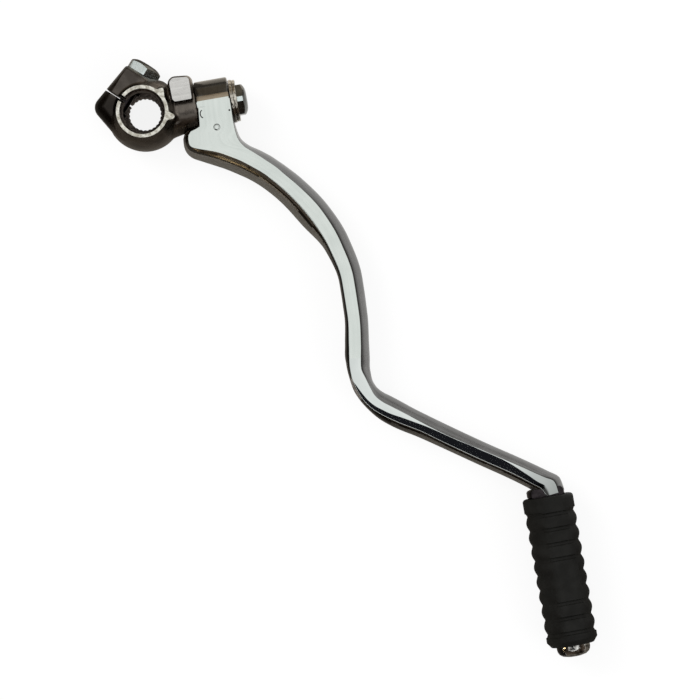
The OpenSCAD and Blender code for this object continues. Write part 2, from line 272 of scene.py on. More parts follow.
GROUND = Metal("ground_chrome", (0.675, 0.72, 0.685), (0.60, 0.645, 0.612), 0.12, 0.03, 0.009, 0.03, 0.0011,
               flow=True, painted_shade=True)
MIRROR = Metal("mirror_chrome", (0.70, 0.74, 0.72), (0.62, 0.66, 0.64), 0.06, 0.02, 0.008, 0.03, 0.0012,
               flow=True, painted_shade=True)
# The sides' chrome gets tints far darker than the face's, painted shade and reflection: darkest on the outer wall,
# mid-grey on the inner wall and lighter on the lower band of the outer wall.
WALL = Metal("forged_chrome_painted_shade", (0.115, 0.112, 0.103), (0.092, 0.088, 0.08), 0.2, 0.05, 0.010, 0.1, 0.0010,
             flow=True, painted_shade=True)
INNER = Metal("inner_chrome", (0.262, 0.262, 0.262), (0.2, 0.2, 0.2), 0.26, 0.05, 0.008, 0.16, 0.0008,
              flow=True, painted_shade=True)
UNDER = Metal("matt_chrome_painted_reflection", (0.56, 0.57, 0.56), (0.45, 0.455, 0.445), 0.4, 0.05, 0.008, 0.15, 0.0008,
              flow=True, painted_shade=True)
# A much brighter copy of the chrome, a painted highlight on the elbow's outer wall.
PAINTED_HIGHLIGHT = Metal("painted_highlight_chrome", (0.95, 0.94, 0.97), (0.6, 0.6, 0.62), 0.42, 0.05, 0.0015, 0.3, 0.0012)
WORN = Metal("worn_nickel", (0.33, 0.275, 0.20), (0.25, 0.205, 0.15), 0.28, 0.05, 0.004, 0.1, 0.0008)
# Dented chrome whose colour runs in patches from bright to near black, painted broken reflections on the end button.
DENTED_PAINTED_REFLECTION = Metal("dented_chrome_painted_reflection", (0.80, 0.80, 0.76), (0.05, 0.045, 0.04), 0.10, 0.04, 0.0022, 0.9, 0.0022)
# Near-black chrome, painted shadow: on the collar beside the rubber, the bottoms of the stamped marks, the end button's
# side towards -X and the pinch bolt below its head.
PAINTED_SHADOW = Metal("painted_shadow_chrome", (0.035, 0.03, 0.032), (0.014, 0.012, 0.013), 0.2, 0.05, 0.002, 0.3, 0.0015)
# Dark copy of the chrome for the boss's sides, painted shade.
BOSS_WALL = Metal("boss_chrome_painted_shade", (0.17, 0.15, 0.13), (0.10, 0.087, 0.075), 0.27, 0.07, 0.006, 0.25, 0.0014,
                  painted_shade=True)
BRUSHED = Metal("brushed_chrome", (0.68, 0.675, 0.65), (0.52, 0.515, 0.495), 0.3, 0.06, 0.004, 0.3, 0.0007,
                (0.25, 1.0, 0.0))
RING = Metal("scuffed_chrome", (0.86, 0.85, 0.77), (0.38, 0.36, 0.30), 0.34, 0.06, 0.0014, 0.5, 0.0008)
BORE = Metal("broached_steel", (0.28, 0.245, 0.22), (0.12, 0.10, 0.09), 0.5, 0.06, 0.0016, 0.5, 0.0008)
ZINC = Metal("bright_zinc", (0.76, 0.83, 0.815), (0.64, 0.71, 0.695), 0.26, 0.05, 0.004, 0.12, 0.0008)
DARK_BOLT = Metal("dark_zinc", (0.2, 0.205, 0.195), (0.12, 0.123, 0.116), 0.2, 0.05, 0.004, 0.12, 0.0008)
STEEL = Metal("washer_steel", (0.62, 0.59, 0.52), (0.24, 0.22, 0.19), 0.16, 0.05, 0.0012, 0.1, 0.0006)
SPRING = Metal("spring_steel", (0.5, 0.5, 0.49), (0.4, 0.4, 0.39), 0.25)
PEDAL = Rubber("black_rubber", (0.0075, 0.0075, 0.0065), (0.014, 0.014, 0.0125), 0.6)


# Bench tools


class Bench:
    """Makes and joins meshes. Points are given in millimetres."""

    @staticmethod
    def mesh(name: str, points: Sequence[Sequence[float]], faces: Sequence[Sequence[int]]) -> bpy.types.Mesh:
        """Makes a mesh from points and faces.

        Args:
            name: Name of the mesh.
            points: Corner points in millimetres.
            faces: Corner numbers of each face.

        Returns:
            The mesh.
        """
        mesh = bpy.data.meshes.new(name)
        mesh.from_pydata([tuple(c * MM for c in p) for p in points], [], [tuple(f) for f in faces])
        return mesh

    @staticmethod
    def lay(mesh: bpy.types.Mesh) -> bpy.types.Object:
        """Lays a mesh on the bench.

        Args:
            mesh: The mesh.

        Returns:
            Its object, of the same name.
        """
        made = bpy.data.objects.new(mesh.name, mesh)
        bpy.context.scene.collection.objects.link(made)
        return made

    @staticmethod
    def solid(name: str, points: Sequence[Sequence[float]], faces: Sequence[Sequence[int]]) -> bpy.types.Object:
        """Makes an object from points and faces.

        Args:
            name: Name of the object.
            points: Corner points in millimetres.
            faces: Corner numbers of each face.

        Returns:
            The new object, its normals pointing out.
        """
        mesh = Bench.mesh(name, points, faces)
        work = bmesh.new()
        work.from_mesh(mesh)
        bmesh.ops.recalc_face_normals(work, faces=work.faces)
        if work.calc_volume(signed=True) < 0:
            bmesh.ops.reverse_faces(work, faces=work.faces)
        work.to_mesh(mesh)
        work.free()
        return Bench.lay(mesh)

    @staticmethod
    def loft(name: str, rings: Sequence[Sequence[Sequence[float]]]) -> bpy.types.Object:
        """Joins rings of equal length into one closed skin.

        Args:
            name: Name of the object.
            rings: The rings of points.

        Returns:
            The skin.
        """
        n, m = len(rings[0]), len(rings)
        faces: list[list[int]] = [
            [i * n + j, i * n + (j + 1) % n, (i + 1) * n + (j + 1) % n, (i + 1) * n + j]
            for i in range(m - 1)
            for j in range(n)
        ]
        faces += [list(range(n))[::-1], [(m - 1) * n + j for j in range(n)]]
        return Bench.solid(name, [p for ring in rings for p in ring], faces)

    @staticmethod
    def lathe(name: str, profile: Sequence[Sequence[float]], place: Matrix, count: int = 96) -> bpy.types.Object:
        """Turns a closed profile of radius and height about Z, then places it.

        Args:
            name: Name of the object.
            profile: Pairs of radius and height, from the low end of the axis to the high one.
            place: Where it goes, in millimetres.
            count: Steps round the axis.

        Returns:
            The turned solid.
        """
        solid = profile[0][0] < 1e-6 and profile[-1][0] < 1e-6
        rows = profile[1:-1] if solid else profile
        points: list[Vector] = []
        for k in range(count):
            a = math.tau * k / count
            points += [place @ Vector((r * math.cos(a), r * math.sin(a), z)) for r, z in rows]
        n = len(rows)
        faces = []
        for k in range(count):
            k2 = (k + 1) % count
            steps = range(n - 1) if solid else range(n)
            faces += [[k * n + i, k2 * n + i, k2 * n + (i + 1) % n, k * n + (i + 1) % n] for i in steps]
        if solid:
            low, high = len(points), len(points) + 1
            points += [place @ Vector((0, 0, profile[0][1])), place @ Vector((0, 0, profile[-1][1]))]
            for k in range(count):
                k2 = (k + 1) % count
                faces += [[low, k2 * n, k * n], [high, k * n + n - 1, k2 * n + n - 1]]
        return Bench.solid(name, points, faces)

    @staticmethod
    def prism(name: str, outline: Sequence[Sequence[float]], low: float, high: float,
              place: Matrix = Matrix()) -> bpy.types.Object:
        """Draws an outline up into a prism.

        Args:
            name: Name of the object.
            outline: X and Y of each corner.
            low: Height of the lower end.
            high: Height of the upper end.
            place: Where it goes, in millimetres.

        Returns:
            The prism.
        """
        rings = [[place @ Vector((x, y, z)) for x, y in outline] for z in (low, high)]
        return Bench.loft(name, rings)

    @staticmethod
    def shell(name: str, points: Iterable[Sequence[float]]) -> bpy.types.Object:
        """Makes the convex hull of some points.

        Args:
            name: Name of the object.
            points: The points in millimetres.

        Returns:
            The hull.
        """
        mesh = Bench.mesh(name, [], [])
        work = bmesh.new()
        for p in points:
            work.verts.new(tuple(c * MM for c in p))
        made = bmesh.ops.convex_hull(work, input=work.verts)
        spare = {g for g in made["geom_interior"] + made["geom_unused"] if isinstance(g, bmesh.types.BMVert)}
        bmesh.ops.delete(work, geom=list(spare), context="VERTS")
        bmesh.ops.recalc_face_normals(work, faces=work.faces)
        work.to_mesh(mesh)
        work.free()
        return Bench.lay(mesh)

    @staticmethod
    def bake(thing: bpy.types.Object) -> None:
        """Writes an object's modifiers into its mesh.

        Args:
            thing: The object.
        """
        bpy.context.view_layer.update()
        done = bpy.data.meshes.new_from_object(thing.evaluated_get(bpy.context.evaluated_depsgraph_get()))
        thing.modifiers.clear()
        old, thing.data = thing.data, done
        bpy.data.meshes.remove(old)

    @staticmethod
    def work(thing: bpy.types.Object, tool: bpy.types.Object, cut: Cut) -> bpy.types.Object:
        """Cuts or joins one solid with another, which is used up.

        Args:
            thing: The solid that is worked on.
            tool: The other solid.
            cut: What is done.

        Returns:
            The worked solid.
        """
        step = thing.modifiers.new(cut.name, "BOOLEAN")
        step.operation = cut.value
        step.solver = "MANIFOLD"
        step.object = tool
        Bench.bake(thing)
        bpy.data.objects.remove(tool)
        return thing

    @staticmethod
    def soften(thing: bpy.types.Object, voxel: float, rounds: int) -> None:
        """Runs a solid's edges together as a forging die does.

        Args:
            thing: The solid.
            voxel: Voxel size in millimetres.
            rounds: How often it is smoothed.
        """
        mould = thing.modifiers.new("mould", "REMESH")
        mould.mode = "VOXEL"
        mould.voxel_size = voxel * MM
        smooth = thing.modifiers.new("smooth", "SMOOTH")
        smooth.factor = 0.5
        smooth.iterations = rounds
        Bench.bake(thing)

    @staticmethod
    def finish(thing: bpy.types.Object, angle: float = 30.0) -> None:
        """Shades a mesh smooth with its sharp edges kept.

        Args:
            thing: The object.
            angle: Edges sharper than this stay sharp, in degrees.
        """
        thing.data.shade_smooth()
        thing.data.set_sharp_from_angle(angle=math.radians(angle))

    @staticmethod
    def points(thing: bpy.types.Object) -> np.ndarray:
        """Reads an object's corner points.

        Args:
            thing: The object.

        Returns:
            The points in millimetres, one row each.
        """
        flat = np.zeros(len(thing.data.vertices) * 3)
        thing.data.vertices.foreach_get("co", flat)
        return flat.reshape(-1, 3) / MM

    @staticmethod
    def mark(thing: bpy.types.Object, name: str, values: np.ndarray) -> None:
        """Writes numbers or vectors on an object's points for its finish to read.

        Args:
            thing: The object.
            name: Name of the marks.
            values: One number or vector for each point.
        """
        vectors = values.ndim == 2
        layer = thing.data.attributes.new(name, "FLOAT_VECTOR" if vectors else "FLOAT", "POINT")
        layer.data.foreach_set("vector" if vectors else "value", values.astype(np.float32).ravel())

    @staticmethod
    def paint(thing: bpy.types.Object, finishes: Sequence[Metal | Rubber],
              choose: Callable[[np.ndarray, np.ndarray], np.ndarray] | None = None) -> None:
        """Gives each face one of some finishes.

        Args:
            thing: The object.
            finishes: The finishes, in slot order.
            choose: Gives each face's slot from the face centres in millimetres and the normals.
        """
        thing.data.materials.clear()
        for finish in finishes:
            thing.data.materials.append(Palette.material(finish))
        if choose is None:
            return
        count = len(thing.data.polygons)
        centre, normal = np.zeros(count * 3), np.zeros(count * 3)
        thing.data.polygons.foreach_get("center", centre)
        thing.data.polygons.foreach_get("normal", normal)
        slots = choose(centre.reshape(-1, 3) / MM, normal.reshape(-1, 3)).astype(np.int32)
        thing.data.polygons.foreach_set("material_index", slots)


class Palette:
    """Keeps one material for each finish."""

    made: dict[str, bpy.types.Material] = {}

    @classmethod
    def material(cls, finish: Metal | Rubber) -> bpy.types.Material:
        """Gives the material of a finish, made on first use.

        Args:
            finish: The finish.

        Returns:
            Its material.
        """
        if finish.name not in cls.made:
            cls.made[finish.name] = finish.make()
        return cls.made[finish.name]


def seat(piece: bpy.types.Object, body: Body, slot: str, *nodes: str) -> None:
    """Lets a piece ride on a body and hides the CAD nodes that it stands for.

    Args:
        piece: The piece.
        body: The body that it rides on.
        slot: Not used.
        nodes: The CAD nodes that it replaces.
    """
    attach(piece, body.value)
    if nodes:
        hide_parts(*nodes)
    log.info("%s rides on %s with %d faces", piece.name, body.value, len(piece.data.polygons))


def circle(x: float, y: float, r: float, count: int = 32, start: float = 0.0) -> list[tuple[float, float]]:
    """Points on a circle.

    Args:
        x: Centre along X.
        y: Centre along Y.
        r: Radius.
        count: Number of points.
        start: Angle of the first point, in degrees.

    Returns:
        The points.
    """
    turn = math.radians(start)
    return [(x + r * math.cos(turn + math.tau * k / count), y + r * math.sin(turn + math.tau * k / count))
            for k in range(count)]


# Sizes shared by the pieces


@dataclass(frozen=True)
class Pivot:
    """The fold pivot, in millimetres."""

    y: float = -1.2
    z: float = 11.0
    neck_x: float = 23.0
    hub_x: float = 23.3
    post_x: float = 38.1
    neck_r: float = 10.8
    hub_r: float = 10.9
    post_r: float = 6.0
    washer_r: float = 9.4
    washer_t: float = 1.5
    lock_t: float = 1.4

    def at(self, x: float = 0.0) -> Matrix:
        """Places a shape drawn along Z on the pivot, with Z turned to X.

        Args:
            x: Where the shape's origin goes along X.

        Returns:
            The placing matrix.
        """
        return Matrix.Translation((x, self.y, self.z)) @ Matrix.Rotation(math.radians(90), 4, "Y")


@dataclass(frozen=True)
class Peg:
    """The peg and the rubber on it, in millimetres."""

    x: float = 144.3
    z: float = 11.1
    top: float = -193.9
    length: float = 65.4

    def at(self, y: float) -> Matrix:
        """Places a shape drawn along Z on the peg, its origin at some Y."""
        return Matrix.Translation((self.x, y, self.z)) @ Matrix.Rotation(math.radians(-90), 4, "X")


PIVOT = Pivot()
PEG = Peg()
SLIT_DEG = 138.5
SLIT = Matrix.Rotation(math.radians(SLIT_DEG), 4, "Z")
PINCH = SLIT @ Matrix.Translation((9.7, 0, 12)) @ Matrix.Rotation(math.radians(90), 4, "X")


# The boss


class BossSkin(IntEnum):
    """The finishes of the boss, by slot."""

    WALL = 0
    FACE = 1
    BORE = 2
    RING = 3


@dataclass
class Boss:
    """Forged clamp boss with its ears, stop block, neck and pivot post.

    Attributes:
        height: Depth of the boss along the bore.
        radius: Widest radius.
        bore: Spline tip radius.
        root: Spline root radius, drawn finer than in the CAD as the photo shows no teeth.
        splines: Number of splines.
        entry: Radius of the mouth.
        entry_edge: Radius of the mouth's rounded edge.
        relief: Radius of the relief in front of the splines.
        spline_l: Length of the splines.
        slit: Width of the slit.
        open_deg: Fold angle that the stop block is cut for.
        ears: Centre and radius of the rounded corners of the two ears.
    """

    height: float = 26.0
    radius: float = 16.3
    bore: float = 7.0
    root: float = 7.25
    splines: int = 24
    entry: float = 9.7
    entry_edge: float = 9.85
    relief: float = 8.9
    spline_l: float = 8.0
    slit: float = 0.85
    open_deg: float = 58.0
    ears: list[tuple[float, float, float]] = field(default_factory=lambda: [
        (-3.5, 19.4, 1.8), (-15.5, 4.9, 5.0), (-6.5, -4.4, 8.0), (4.4, 9.2, 4.2)])

    def forging(self) -> bpy.types.Object:
        """Builds the rough forging, edges run together.

        Returns:
            The forging.
        """
        turn = [(0, 0), (self.radius - 1, 0), (self.radius - 0.3, 1.2)]
        turn += [(16.3, 9), (16.25, 11.5), (16.05, 14), (15.65, 16.5), (15.05, 18.8), (14.3, 20.9), (13.4, 22.8),
                 (12.3, 24.4), (11.3, 26.0), (10.7, 27.0)]
        body = Bench.lathe("boss", [*turn, (0, 27.0)], Matrix())
        levels = [(1, -0.8), (4, 0.0), (17.5, 0.0), (20.0, -0.5), (22.0, -1.6), (23.4, -3.4), (24.0, -5.5)]
        ears = Bench.shell("ears", [(x, y, z) for cx, cy, r in self.ears for z, d in levels
                                    for x, y in circle(cx, cy, max(0.3, r + d), 40)])
        Bench.work(body, ears, Cut.JOINED)
        Bench.work(body, self.block(), Cut.JOINED)
        for x0, y0, x1, y1 in ((9.2, -3.2, 12.2, -4.3), (8.4, 5.6, 9.6, 7.4)):
            run = [(x, y, z) for cx, cy, low, high in ((x0, y0, 3.6, 2.2), (x1, y1, 2.6, 1.3))
                   for r, z in ((low, 17), (high, 26.2)) for x, y in circle(cx, cy, r, 24)]
            Bench.work(body, Bench.shell("run", run), Cut.JOINED)
        neck = [(0, 8), (10.3, 8), (10.55, 14), (PIVOT.neck_r, 21), (PIVOT.hub_r, 22.2), (PIVOT.hub_r, 23.1), (0, 23.1)]
        Bench.work(body, Bench.lathe("neck", neck, PIVOT.at()), Cut.JOINED)
        root = [(0, 8), (12.6, 8), (12.1, 9.5), (11.3, 12), (10.7, 15), (0, 15)]
        flare = Bench.lathe("flare", root, PIVOT.at())
        Bench.work(flare, Bench.prism("keep", [(0, -22), (24, -22), (24, 20), (0, 20)], 0.3, 20), Cut.SHARED)
        Bench.work(body, flare, Cut.JOINED)
        Bench.soften(body, 0.42, 5)
        return body

    def block(self) -> bpy.types.Object:
        """Builds the stop block, its underside cut to meet the swung-out nose.

        Returns:
            The block.
        """
        corners = [(15.9, 9.5, 2.2), (20.7, 9.9, 1.3), (21.2, 0.4, 0.6), (15.4, 3.2, 1.5), (17.0, 0.4, 1.0)]
        levels = [(16, 1.3), (21.5, 1.2), (24.4, 0.8), (25.4, 0.45), (26.0, 0.15), (27.4, -0.5)]
        block = Bench.shell("block", [(x, y, z) for cx, cy, r in corners for z, d in levels
                                      for x, y in circle(cx, cy, r + d, 32)])
        tilt = (Matrix.Translation((0, PIVOT.y, PIVOT.z))
                @ Matrix.Rotation(math.radians(-self.open_deg), 4, "X"))
        under = Bench.prism("under", [(0, -30), (40, -30), (40, 30), (0, 30)], -29.6, 10.4, tilt)
        return Bench.work(block, under, Cut.AWAY)

    def machine(self, body: bpy.types.Object) -> None:
        """Cuts the flats, bore, slit and bolt holes into the forging.

        Args:
            body: The forging.
        """
        wide = [(-60, -60), (60, -60), (60, 60), (-60, 60)]
        Bench.work(body, Bench.prism("face", wide, self.height, 40), Cut.AWAY)
        Bench.work(body, Bench.prism("back", wide, -20, 0), Cut.AWAY)
        stem = [(0, PIVOT.neck_x - 1), (PIVOT.post_r, PIVOT.neck_x - 1), (PIVOT.post_r, PIVOT.post_x - 0.6),
                (5.4, PIVOT.post_x), (0, PIVOT.post_x)]
        Bench.work(body, Bench.lathe("stem", stem, PIVOT.at()), Cut.JOINED)
        ledge = [(15.4, -14.2), (21.8, -14.2), (21.8, -6.2), (15.4, -6.2)]
        Bench.work(body, Bench.prism("ledge", ledge, 0, 2.7), Cut.JOINED)
        teeth: list[tuple[float, float]] = []
        for k in range(self.splines):
            a = math.tau * k / self.splines
            for r, side in ((self.bore, -0.5), (self.root, -0.33), (self.root, 0.33), (self.bore, 0.5)):
                b = a + side / r
                teeth.append((r * math.cos(b), r * math.sin(b)))
        Bench.work(body, Bench.prism("teeth", teeth, -1, self.spline_l + 1), Cut.AWAY)
        mouth = [(0, self.spline_l), (self.bore, self.spline_l), (self.relief, self.spline_l + 1.2),
                 (self.relief, 24.2), (self.entry, 25.4), (self.entry_edge, 26.0), (self.entry_edge, 30), (0, 30)]
        Bench.work(body, Bench.lathe("mouth", mouth, Matrix(), 128), Cut.AWAY)
        half = self.slit / 2
        slot = [(0, -half), (40, -half), (40, half), (0, half)]
        Bench.work(body, Bench.prism("slit", slot, -1, 30, SLIT), Cut.AWAY)
        groove = [(8.5, 22.6, 0.5), (8.5, 27, 1.7), (12.4, 22.6, 0.5), (12.4, 27, 1.7)]
        Bench.work(body, Bench.shell("groove", [SLIT @ Vector((x, side * w, z)) for x, z, w in groove
                                                for side in (-1, 1)]), Cut.AWAY)
        Bench.work(body, Bench.lathe("hole", [(0, -30), (4.05, -30), (4.05, 0), (4.25, 0.2), (4.25, 30), (0, 30)],
                                     PINCH, 48), Cut.AWAY)
        Bench.work(body, Bench.lathe("spotface", [(0, 13.8), (9.2, 13.8), (9.5, 33), (0, 33)], PINCH, 64), Cut.AWAY)
        Bench.work(body, Bench.lathe("tapping", [(0, 25), (4.03, 25), (4.03, 40), (0, 40)], PIVOT.at(), 48), Cut.AWAY)

    @staticmethod
    def painted_shade(at: np.ndarray) -> np.ndarray:
        """Says how much painted shade darkens the upper ears, more so below the slit.

        Args:
            at: The points of the boss.

        Returns:
            0 for none, 1 for darkest, for each point.
        """
        spin = math.radians(SLIT_DEG)
        u = at[:, 0] * math.cos(spin) + at[:, 1] * math.sin(spin)
        v = -at[:, 0] * math.sin(spin) + at[:, 1] * math.cos(spin)
        high = np.clip((at[:, 2] - 14) / 6, 0, 1)
        lower = np.clip((v + 1) / 3, 0, 1)
        return np.clip(np.clip((u - 6) / 4, 0, 1) * high * (0.45 + 0.42 * lower), 0, 1)

    @staticmethod
    def skins(at: np.ndarray, normal: np.ndarray) -> np.ndarray:
        """Gives each face its finish.

        Args:
            at: Middles of the faces.
            normal: Their normals.

        Returns:
            The slots.
        """
        away = np.hypot(at[:, 0], at[:, 1])
        slot = np.full(len(at), int(BossSkin.WALL))
        slot[(at[:, 2] > 25.9) & (normal[:, 2] > 0.9)] = BossSkin.FACE
        slot[(at[:, 2] > 25.3) & (normal[:, 2] > 0.6) & (away < 13.4)] = BossSkin.RING
        slot[(away < 10.0) & (at[:, 2] < 25.25)] = BossSkin.BORE
        return slot

    def build(self) -> None:
        """Builds the boss and seats it."""
        body = self.forging()
        self.machine(body)
        Bench.finish(body, 32)
        # Painted shade on the upper ears, standing in for their dark reflections.
        Bench.mark(body, "painted_shade", self.painted_shade(Bench.points(body)))
        Bench.paint(body, [BOSS_WALL, BRUSHED, BORE, RING], self.skins)
        body.name = "boss_forging"
        seat(body, Body.CLAMP, "boss_chrome", "boss")


# The arm


# Stations of the arm from the hub to the peg, in millimetres: outer edge, outer crease, inner crease
# and inner edge, each as X and Y, then the front and the back height.
STATIONS: list[tuple[float, ...]] = [
    (23.7, 0.4, 24.2, 0.3, 38.1, -0.5, 38.2, -0.4, 21.85, 0.3),
    (22.9, -3.6, 23.6, -4.5, 38.0, -6.2, 38.1, -5.4, 21.74, 0.3),
    (22.6, -7.1, 23.3, -8.0, 37.9, -9.9, 38.0, -9.1, 21.42, 0.4),
    (22.3, -9.4, 22.9, -10.4, 38.0, -13.0, 38.3, -12.3, 21.18, 0.5),
    (20.4, -10.1, 21.0, -11.2, 38.1, -14.9, 38.6, -14.4, 21.1, 0.7),
    (17.2, -10.6, 18.8, -11.8, 38.3, -16.4, 39.0, -16.3, 21.1, 1.0),
    (15.6, -11.9, 17.6, -13.2, 38.5, -17.7, 39.6, -17.9, 21.1, 1.2),
    (14.8, -13.9, 17.2, -14.9, 39.0, -19.3, 40.4, -19.1, 21.1, 1.6),
    (14.6, -17.0, 17.2, -16.9, 39.9, -20.9, 41.6, -20.4, 21.1, 1.6),
    (15.2, -19.8, 18.0, -18.4, 41.3, -22.7, 43.3, -21.9, 21.1, 1.6),
    (17.2, -22.5, 20.8, -19.7, 43.0, -24.2, 45.3, -23.2, 21.1, 1.6),
    (21.2, -24.8, 24.9, -21.1, 44.7, -25.7, 47.2, -24.5, 21.1, 1.6),
    (25.8, -27.2, 29.2, -22.8, 46.6, -27.4, 49.2, -26.0, 21.05, 1.7),
    (30.5, -29.7, 33.4, -25.1, 48.6, -29.3, 51.2, -27.6, 21.0, 1.8),
    (35.3, -32.7, 37.8, -27.8, 50.8, -31.3, 53.4, -29.7, 20.93, 2.0),
    (40.0, -35.9, 42.0, -31.0, 53.2, -33.7, 56.0, -32.2, 20.75, 2.2),
    (44.8, -40.0, 46.8, -35.0, 55.5, -36.5, 58.5, -34.8, 20.45, 2.6),
    (51.8, -47.9, 55.6, -45.1, 59.8, -41.4, 62.1, -38.8, 19.7, 3.2),
    (59.6, -59.9, 63.6, -57.7, 68.8, -54.5, 71.6, -52.3, 18.75, 4.0),
    (67.4, -72.2, 69.3, -71.7, 74.7, -69.7, 78.3, -68.2, 17.9, 4.6),
    (71.0, -87.0, 72.3, -86.9, 77.6, -86.2, 81.3, -85.6, 17.3, 4.7),
    (70.7, -101.6, 72.1, -101.7, 77.3, -102.1, 80.8, -102.3, 17.3, 4.7),
    (68.8, -114.1, 70.5, -114.4, 75.8, -115.3, 79.2, -115.9, 17.2, 4.8),
    (67.9, -119.9, 69.6, -120.2, 74.8, -120.9, 78.5, -121.5, 17.1, 4.9),
    (67.9, -124.3, 69.2, -124.5, 74.2, -125.4, 77.8, -126.3, 17.0, 5.0),
    (68.3, -129.0, 69.3, -128.9, 75.4, -130.0, 77.9, -130.5, 17.0, 5.0),
    (69.1, -133.9, 70.4, -133.9, 76.6, -134.1, 79.1, -134.1, 16.9, 5.1),
    (70.9, -138.4, 72.2, -138.6, 78.0, -137.8, 81.4, -136.9, 16.9, 5.2),
    (73.8, -143.2, 74.8, -142.6, 80.6, -140.9, 84.6, -139.3, 16.8, 5.3),
    (77.9, -148.2, 78.8, -146.4, 84.2, -143.7, 88.1, -142.0, 16.8, 5.4),
    (83.9, -153.1, 85.3, -151.0, 89.8, -147.9, 93.5, -146.3, 16.7, 5.5),
    (93.5, -159.1, 94.7, -156.7, 98.5, -154.7, 101.7, -152.3, 16.7, 5.5),
    (101.2, -164.3, 102.5, -162.3, 106.3, -160.4, 109.4, -157.8, 16.7, 5.5),
    (115.7, -174.3, 116.8, -172.3, 119.4, -168.8, 121.8, -166.4, 16.7, 5.5),
    (131.5, -185.1, 132.6, -182.9, 135.4, -179.2, 137.7, -177.0, 16.7, 5.5),
    (138.4, -190.4, 139.3, -188.1, 144.9, -185.6, 146.9, -183.5, 16.7, 5.5),
    (140.3, -192.2, 141.5, -189.7, 147.9, -187.4, 150.9, -186.6, 16.7, 5.5),
    (141.1, -194.0, 142.7, -191.3, 148.7, -189.2, 151.6, -188.9, 16.7, 5.5),
    (142.0, -196.1, 143.7, -193.5, 149.2, -192.9, 152.1, -192.4, 16.7, 5.5),
]


class ArmSkin(IntEnum):
    """The finishes of the arm, by slot."""

    FACE = 0
    WALL = 1
    INNER = 2
    LOWER_FACE = 3
    HUB_TOP = 4
    BUTTON = 5
    # Painted shadow, near black.
    PAINTED_DARK = 6
    UNDER = 7
    # The elbow's painted highlight.
    ELBOW = 8


# Points of one section of the bar: its face, then each side down to the middle of the back.
FACE_POINTS = 7
SIDE_POINTS = 14
SECTION = FACE_POINTS + 2 * SIDE_POINTS

# Where the ground face ends on the hub, along Y.
HUB_EDGE = 0.42

# Places across and down, as shares, of the points of each side.
BACK = [(0.985, 1.18), (0.92, 1.4), (0.78, 1.62), (0.52, 1.82), (0.2, 1.95), (-0.15, 2.0)]
INNER_SIDE = [(0.015, 0.03), (0.07, 0.09), (0.24, 0.19), (0.44, 0.31), (0.66, 0.47), (0.85, 0.67), (0.96, 0.86),
              (1, 1), *BACK]
OUTER_SIDE = [(0.02, 0.012), (0.12, 0.04), (0.25, 0.085), (0.38, 0.14), (0.5, 0.205), (0.66, 0.35), (0.84, 0.6),
              (1, 1), *BACK]


